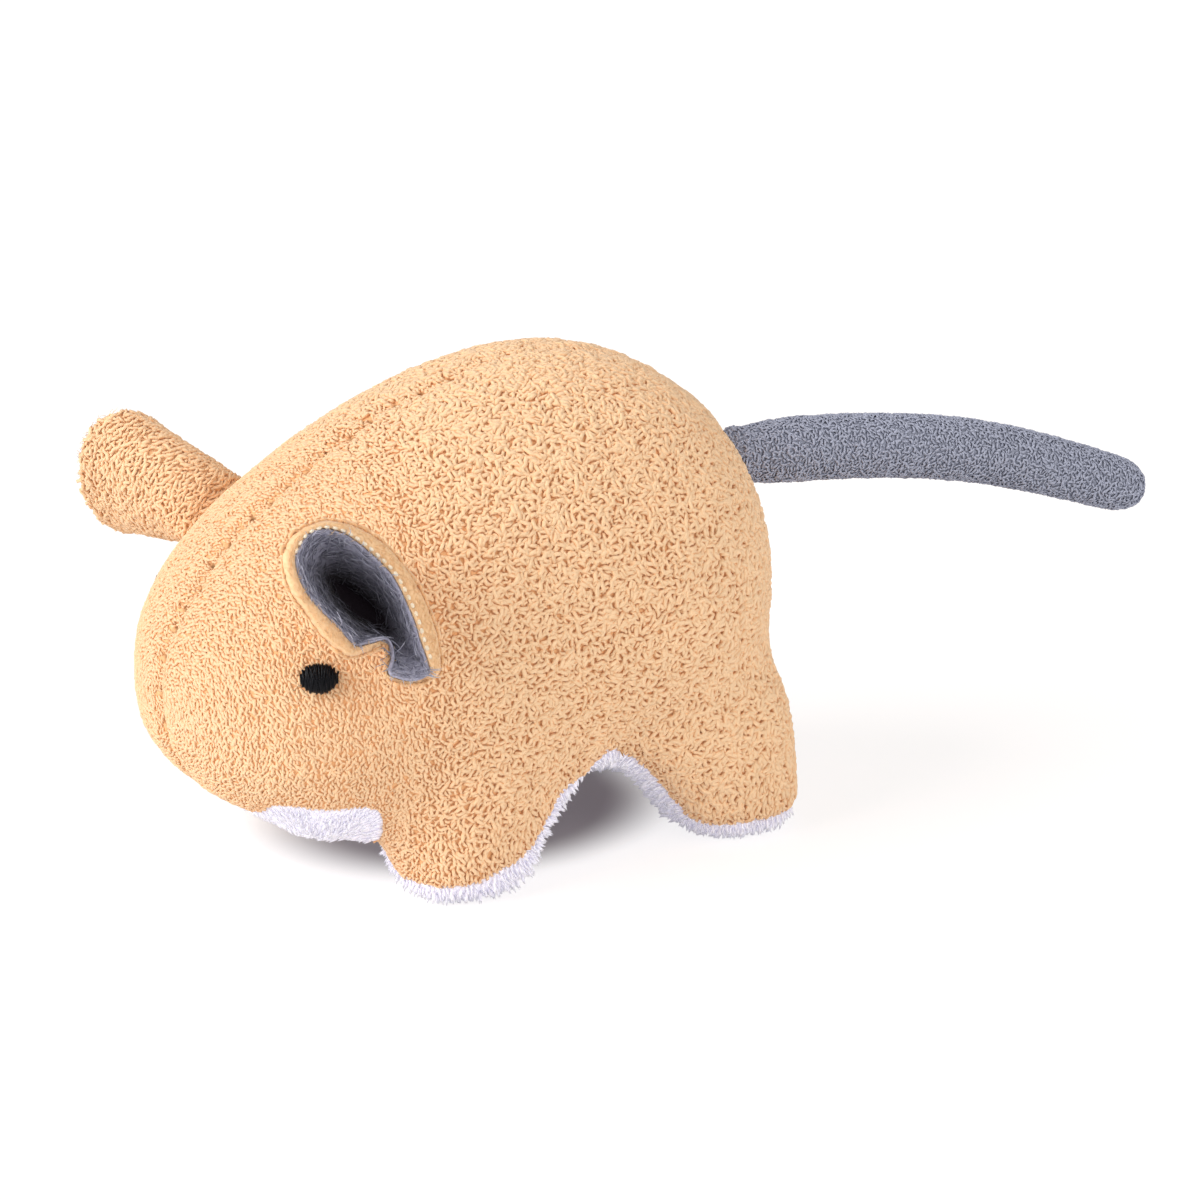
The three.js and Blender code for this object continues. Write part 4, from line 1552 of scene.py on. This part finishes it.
def satinTree():
    tree, given = newTree("satin", {"Strand": "Object", "Thread": "Material", "Threads": "Int",
                                    "Half Length": "Float"})
    ends = []
    for reach in (-eyeDisc["rowReach"], eyeDisc["rowReach"]):
        spot = math2(tree, "MULTIPLY", given["Half Length"], reach)
        ends.append(addNode(tree, "ShaderNodeCombineXYZ", X=spot).outputs[0])
    row = addNode(tree, "GeometryNodeMeshLine", {"mode": "END_POINTS"}, Count=given["Threads"],
                  Start_Location=ends[0], Offset=ends[1]).outputs[0]
    place = addNode(tree, "ShaderNodeSeparateXYZ",
                    Vector=addNode(tree, "GeometryNodeInputPosition").outputs[0]).outputs[0]
    share = math2(tree, "DIVIDE", place, given["Half Length"])
    reach = math2(tree, "SQRT", math2(tree, "SUBTRACT", 1.0, math2(tree, "MULTIPLY", share, share)), 0.0)
    scale = addNode(tree, "ShaderNodeCombineXYZ", X=1.0, Y=reach, Z=reach).outputs[0]
    tilt = randomFloat(tree, -eyeDisc["threadTilt"], eyeDisc["threadTilt"], eyeDisc["seed"])
    turn = addNode(tree, "ShaderNodeCombineXYZ", Z=tilt).outputs[0]
    strand = addNode(tree, "GeometryNodeObjectInfo", Object=given["Strand"]).outputs["Geometry"]
    copies = addNode(tree, "GeometryNodeInstanceOnPoints", Points=row, Instance=strand, Rotation=turn,
                     Scale=scale).outputs[0]
    return endTree(tree, copies, given["Thread"])


satin = satinTree()


def strandArc():
    turns = np.radians(np.linspace(-eyeDisc["threadArc"], eyeDisc["threadArc"], eyeDisc["threadSteps"]))
    path = [(0, eyeDisc["halfHeight"] * math.sin(t), eyeDisc["halfDepth"] * math.cos(t)) for t in turns]
    points, faces = tubeParts(path, [eyeDisc["threadRadius"]] * len(path), eyeDisc["threadSides"])
    return bpy.data.objects.new("strandArc", meshFrom("strandArc", points, faces))


def padMesh(name):
    turns = np.linspace(0, 2 * math.pi, eyeDisc["padAround"] + 1)[:-1]
    rows = []
    for row in range(1, eyeDisc["padRows"]):
        lap = math.pi * row / eyeDisc["padRows"]
        wide, out = math.sin(lap) * eyeDisc["padReach"], eyeDisc["halfDepth"] * math.cos(lap)
        rows.append([(eyeDisc["halfLength"] * wide * math.cos(turn),
                      eyeDisc["halfHeight"] * wide * math.sin(turn), out) for turn in turns])
    return loftMesh(name, (0, 0, eyeDisc["halfDepth"]), rows, (0, 0, -eyeDisc["halfDepth"]))


def makeEye(side, arc):
    centre, level, up, out = eyeFrames[side]
    basis = np.array([level if side == "left" else -level, up, out])
    pad = addObject(side + "_eye_pad", padMesh(side + "_eye_pad"))
    pad.data.materials.append(eyeThread)
    bed = addObject("eyeLine", meshFrom("eyeLine", [(0, 0, 0)], []))
    threads = grow(side + "_eye_stitches", bed, satin, **{
        "Strand": arc, "Thread": eyeThread, "Threads": eyeDisc["threads"],
        "Half Length": eyeDisc["halfLength"]})
    for item in (pad, threads):
        setPoints(item.data, pointsOf(item.data) @ basis + np.array(centre))
        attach(item, "torso")
    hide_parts(side + "_eye")


arc = strandArc()
for side in ("left", "right"):
    makeEye(side, arc)
print("ears and eyes done")


# floor, light and camera

stageLight = {
    "sky": 0.42,
    "key": {"strength": 3.0, "angle": 50, "away": Vector((0.87, -0.08, 0.5))},
    "fill": {"strength": 1.05, "angle": 50, "away": Vector((-0.4, 0.8, 0.4))},
}
# the paper as the camera sees it: lit to white all round by its own emission for camera rays, with a painted
# shadow in an ellipse under the belly, where that emission falls away
paper = {
    "half": 9,
    "tones": (linear(249, 249, 249), linear(251, 251, 251)),
    "grain": 40.0,
    "rough": 0.9,
    "gloss": 0.1,
    "lift": 0.76,
    "shade": linear(158, 151, 148),
    "under": Vector((4, -10, 0)),
    "reach": Vector((28.5, 24, 1)),
    "edge": (0.75, 1.25),
}


def addStage():
    corners = [(x * paper["half"], y * paper["half"], 0) for x, y in ((-1, -1), (1, -1), (1, 1), (-1, 1))]
    floor = addObject("floor", meshFrom("floor", corners, [(0, 1, 2, 3)]))
    material, tree, shader = newMaterial("paper")
    place = addNode(tree, "ShaderNodeTexCoord").outputs["Object"]
    grain = addNode(tree, "ShaderNodeTexNoise", Vector=place, Scale=paper["grain"]).outputs["Fac"]
    colour = mixColour(tree, "MIX", grain, *paper["tones"])
    shader.inputs["Roughness"].default_value = paper["rough"]
    shader.inputs["Specular IOR Level"].default_value = paper["gloss"]
    rays = addNode(tree, "ShaderNodeLightPath").outputs
    seen = math2(tree, "MAXIMUM", rays["Is Camera Ray"],
                 math2(tree, "MAXIMUM", rays["Is Glossy Ray"], rays["Is Transmission Ray"]))
    tree.links.new(mixColour(tree, "MIX", seen, colour, paper["shade"]), shader.inputs["Base Color"])
    # painted shadow: the camera-ray emission fades out inside an ellipse under the belly, leaving the darker
    # shade colour
    scale = Vector([1 / (reach * mm) for reach in paper["reach"]])
    start = -(middle + paper["under"] * mm) * scale
    shifted = addNode(tree, "ShaderNodeMapping", Vector=place, Location=start, Scale=scale).outputs[0]
    away = addNode(tree, "ShaderNodeVectorMath", {"operation": "LENGTH"}, _0=shifted).outputs["Value"]
    clear = addNode(tree, "ShaderNodeMapRange", {"interpolation_type": "SMOOTHSTEP"}, Value=away,
                    From_Min=paper["edge"][0], From_Max=paper["edge"][1], To_Max=paper["lift"]).outputs[0]
    shader.inputs["Emission Color"].default_value = (1, 1, 1, 1)
    tree.links.new(math2(tree, "MULTIPLY", seen, clear), shader.inputs["Emission Strength"])
    floor.data.materials.append(material)
    world = bpy.data.worlds.new("studio")
    scene.world = world
    world.use_nodes = True
    sky = world.node_tree.nodes["Background"].inputs
    sky["Color"].default_value = (1, 1, 1, 1)
    sky["Strength"].default_value = stageLight["sky"]
    for name in ("key", "fill"):
        lamp = bpy.data.objects.new(name, bpy.data.lights.new(name, "SUN"))
        scene.collection.objects.link(lamp)
        lamp.data.energy = stageLight[name]["strength"]
        lamp.data.angle = math.radians(stageLight[name]["angle"])
        lamp.rotation_euler = stageLight[name]["away"].to_track_quat("Z", "Y").to_euler()


# where the photograph was taken from, in millimetres and degrees; right and up move its middle
viewpoint = {
    "target": Vector((0, 0, 24)),
    "distance": 700,
    "yaw": 29,
    "rise": 20,
    "right": 11.88,
    "up": 9.71,
    "lens": 144.9,
    "sensor": 36,
    "clipStart": 10 * mm,
}


def addCamera():
    yaw, rise = math.radians(viewpoint["yaw"]), math.radians(viewpoint["rise"])
    back = Vector((math.sin(yaw) * math.cos(rise), math.cos(yaw) * math.cos(rise), math.sin(rise)))
    right = Vector((-math.cos(yaw), math.sin(yaw), 0))
    up = back.cross(right)
    target = middle + viewpoint["target"] * mm
    camera = bpy.data.objects.new("camera", bpy.data.cameras.new("camera"))
    scene.collection.objects.link(camera)
    camera.location = target + back * viewpoint["distance"] * mm
    aim = target + (right * viewpoint["right"] + up * viewpoint["up"]) * mm
    camera.rotation_euler = (aim - camera.location).to_track_quat("-Z", "Y").to_euler()
    camera.data.lens = viewpoint["lens"]
    camera.data.sensor_width = viewpoint["sensor"]
    camera.data.clip_start = viewpoint["clipStart"]
    scene.camera = camera


addStage()
addCamera()
scene.view_settings.view_transform = "Standard"
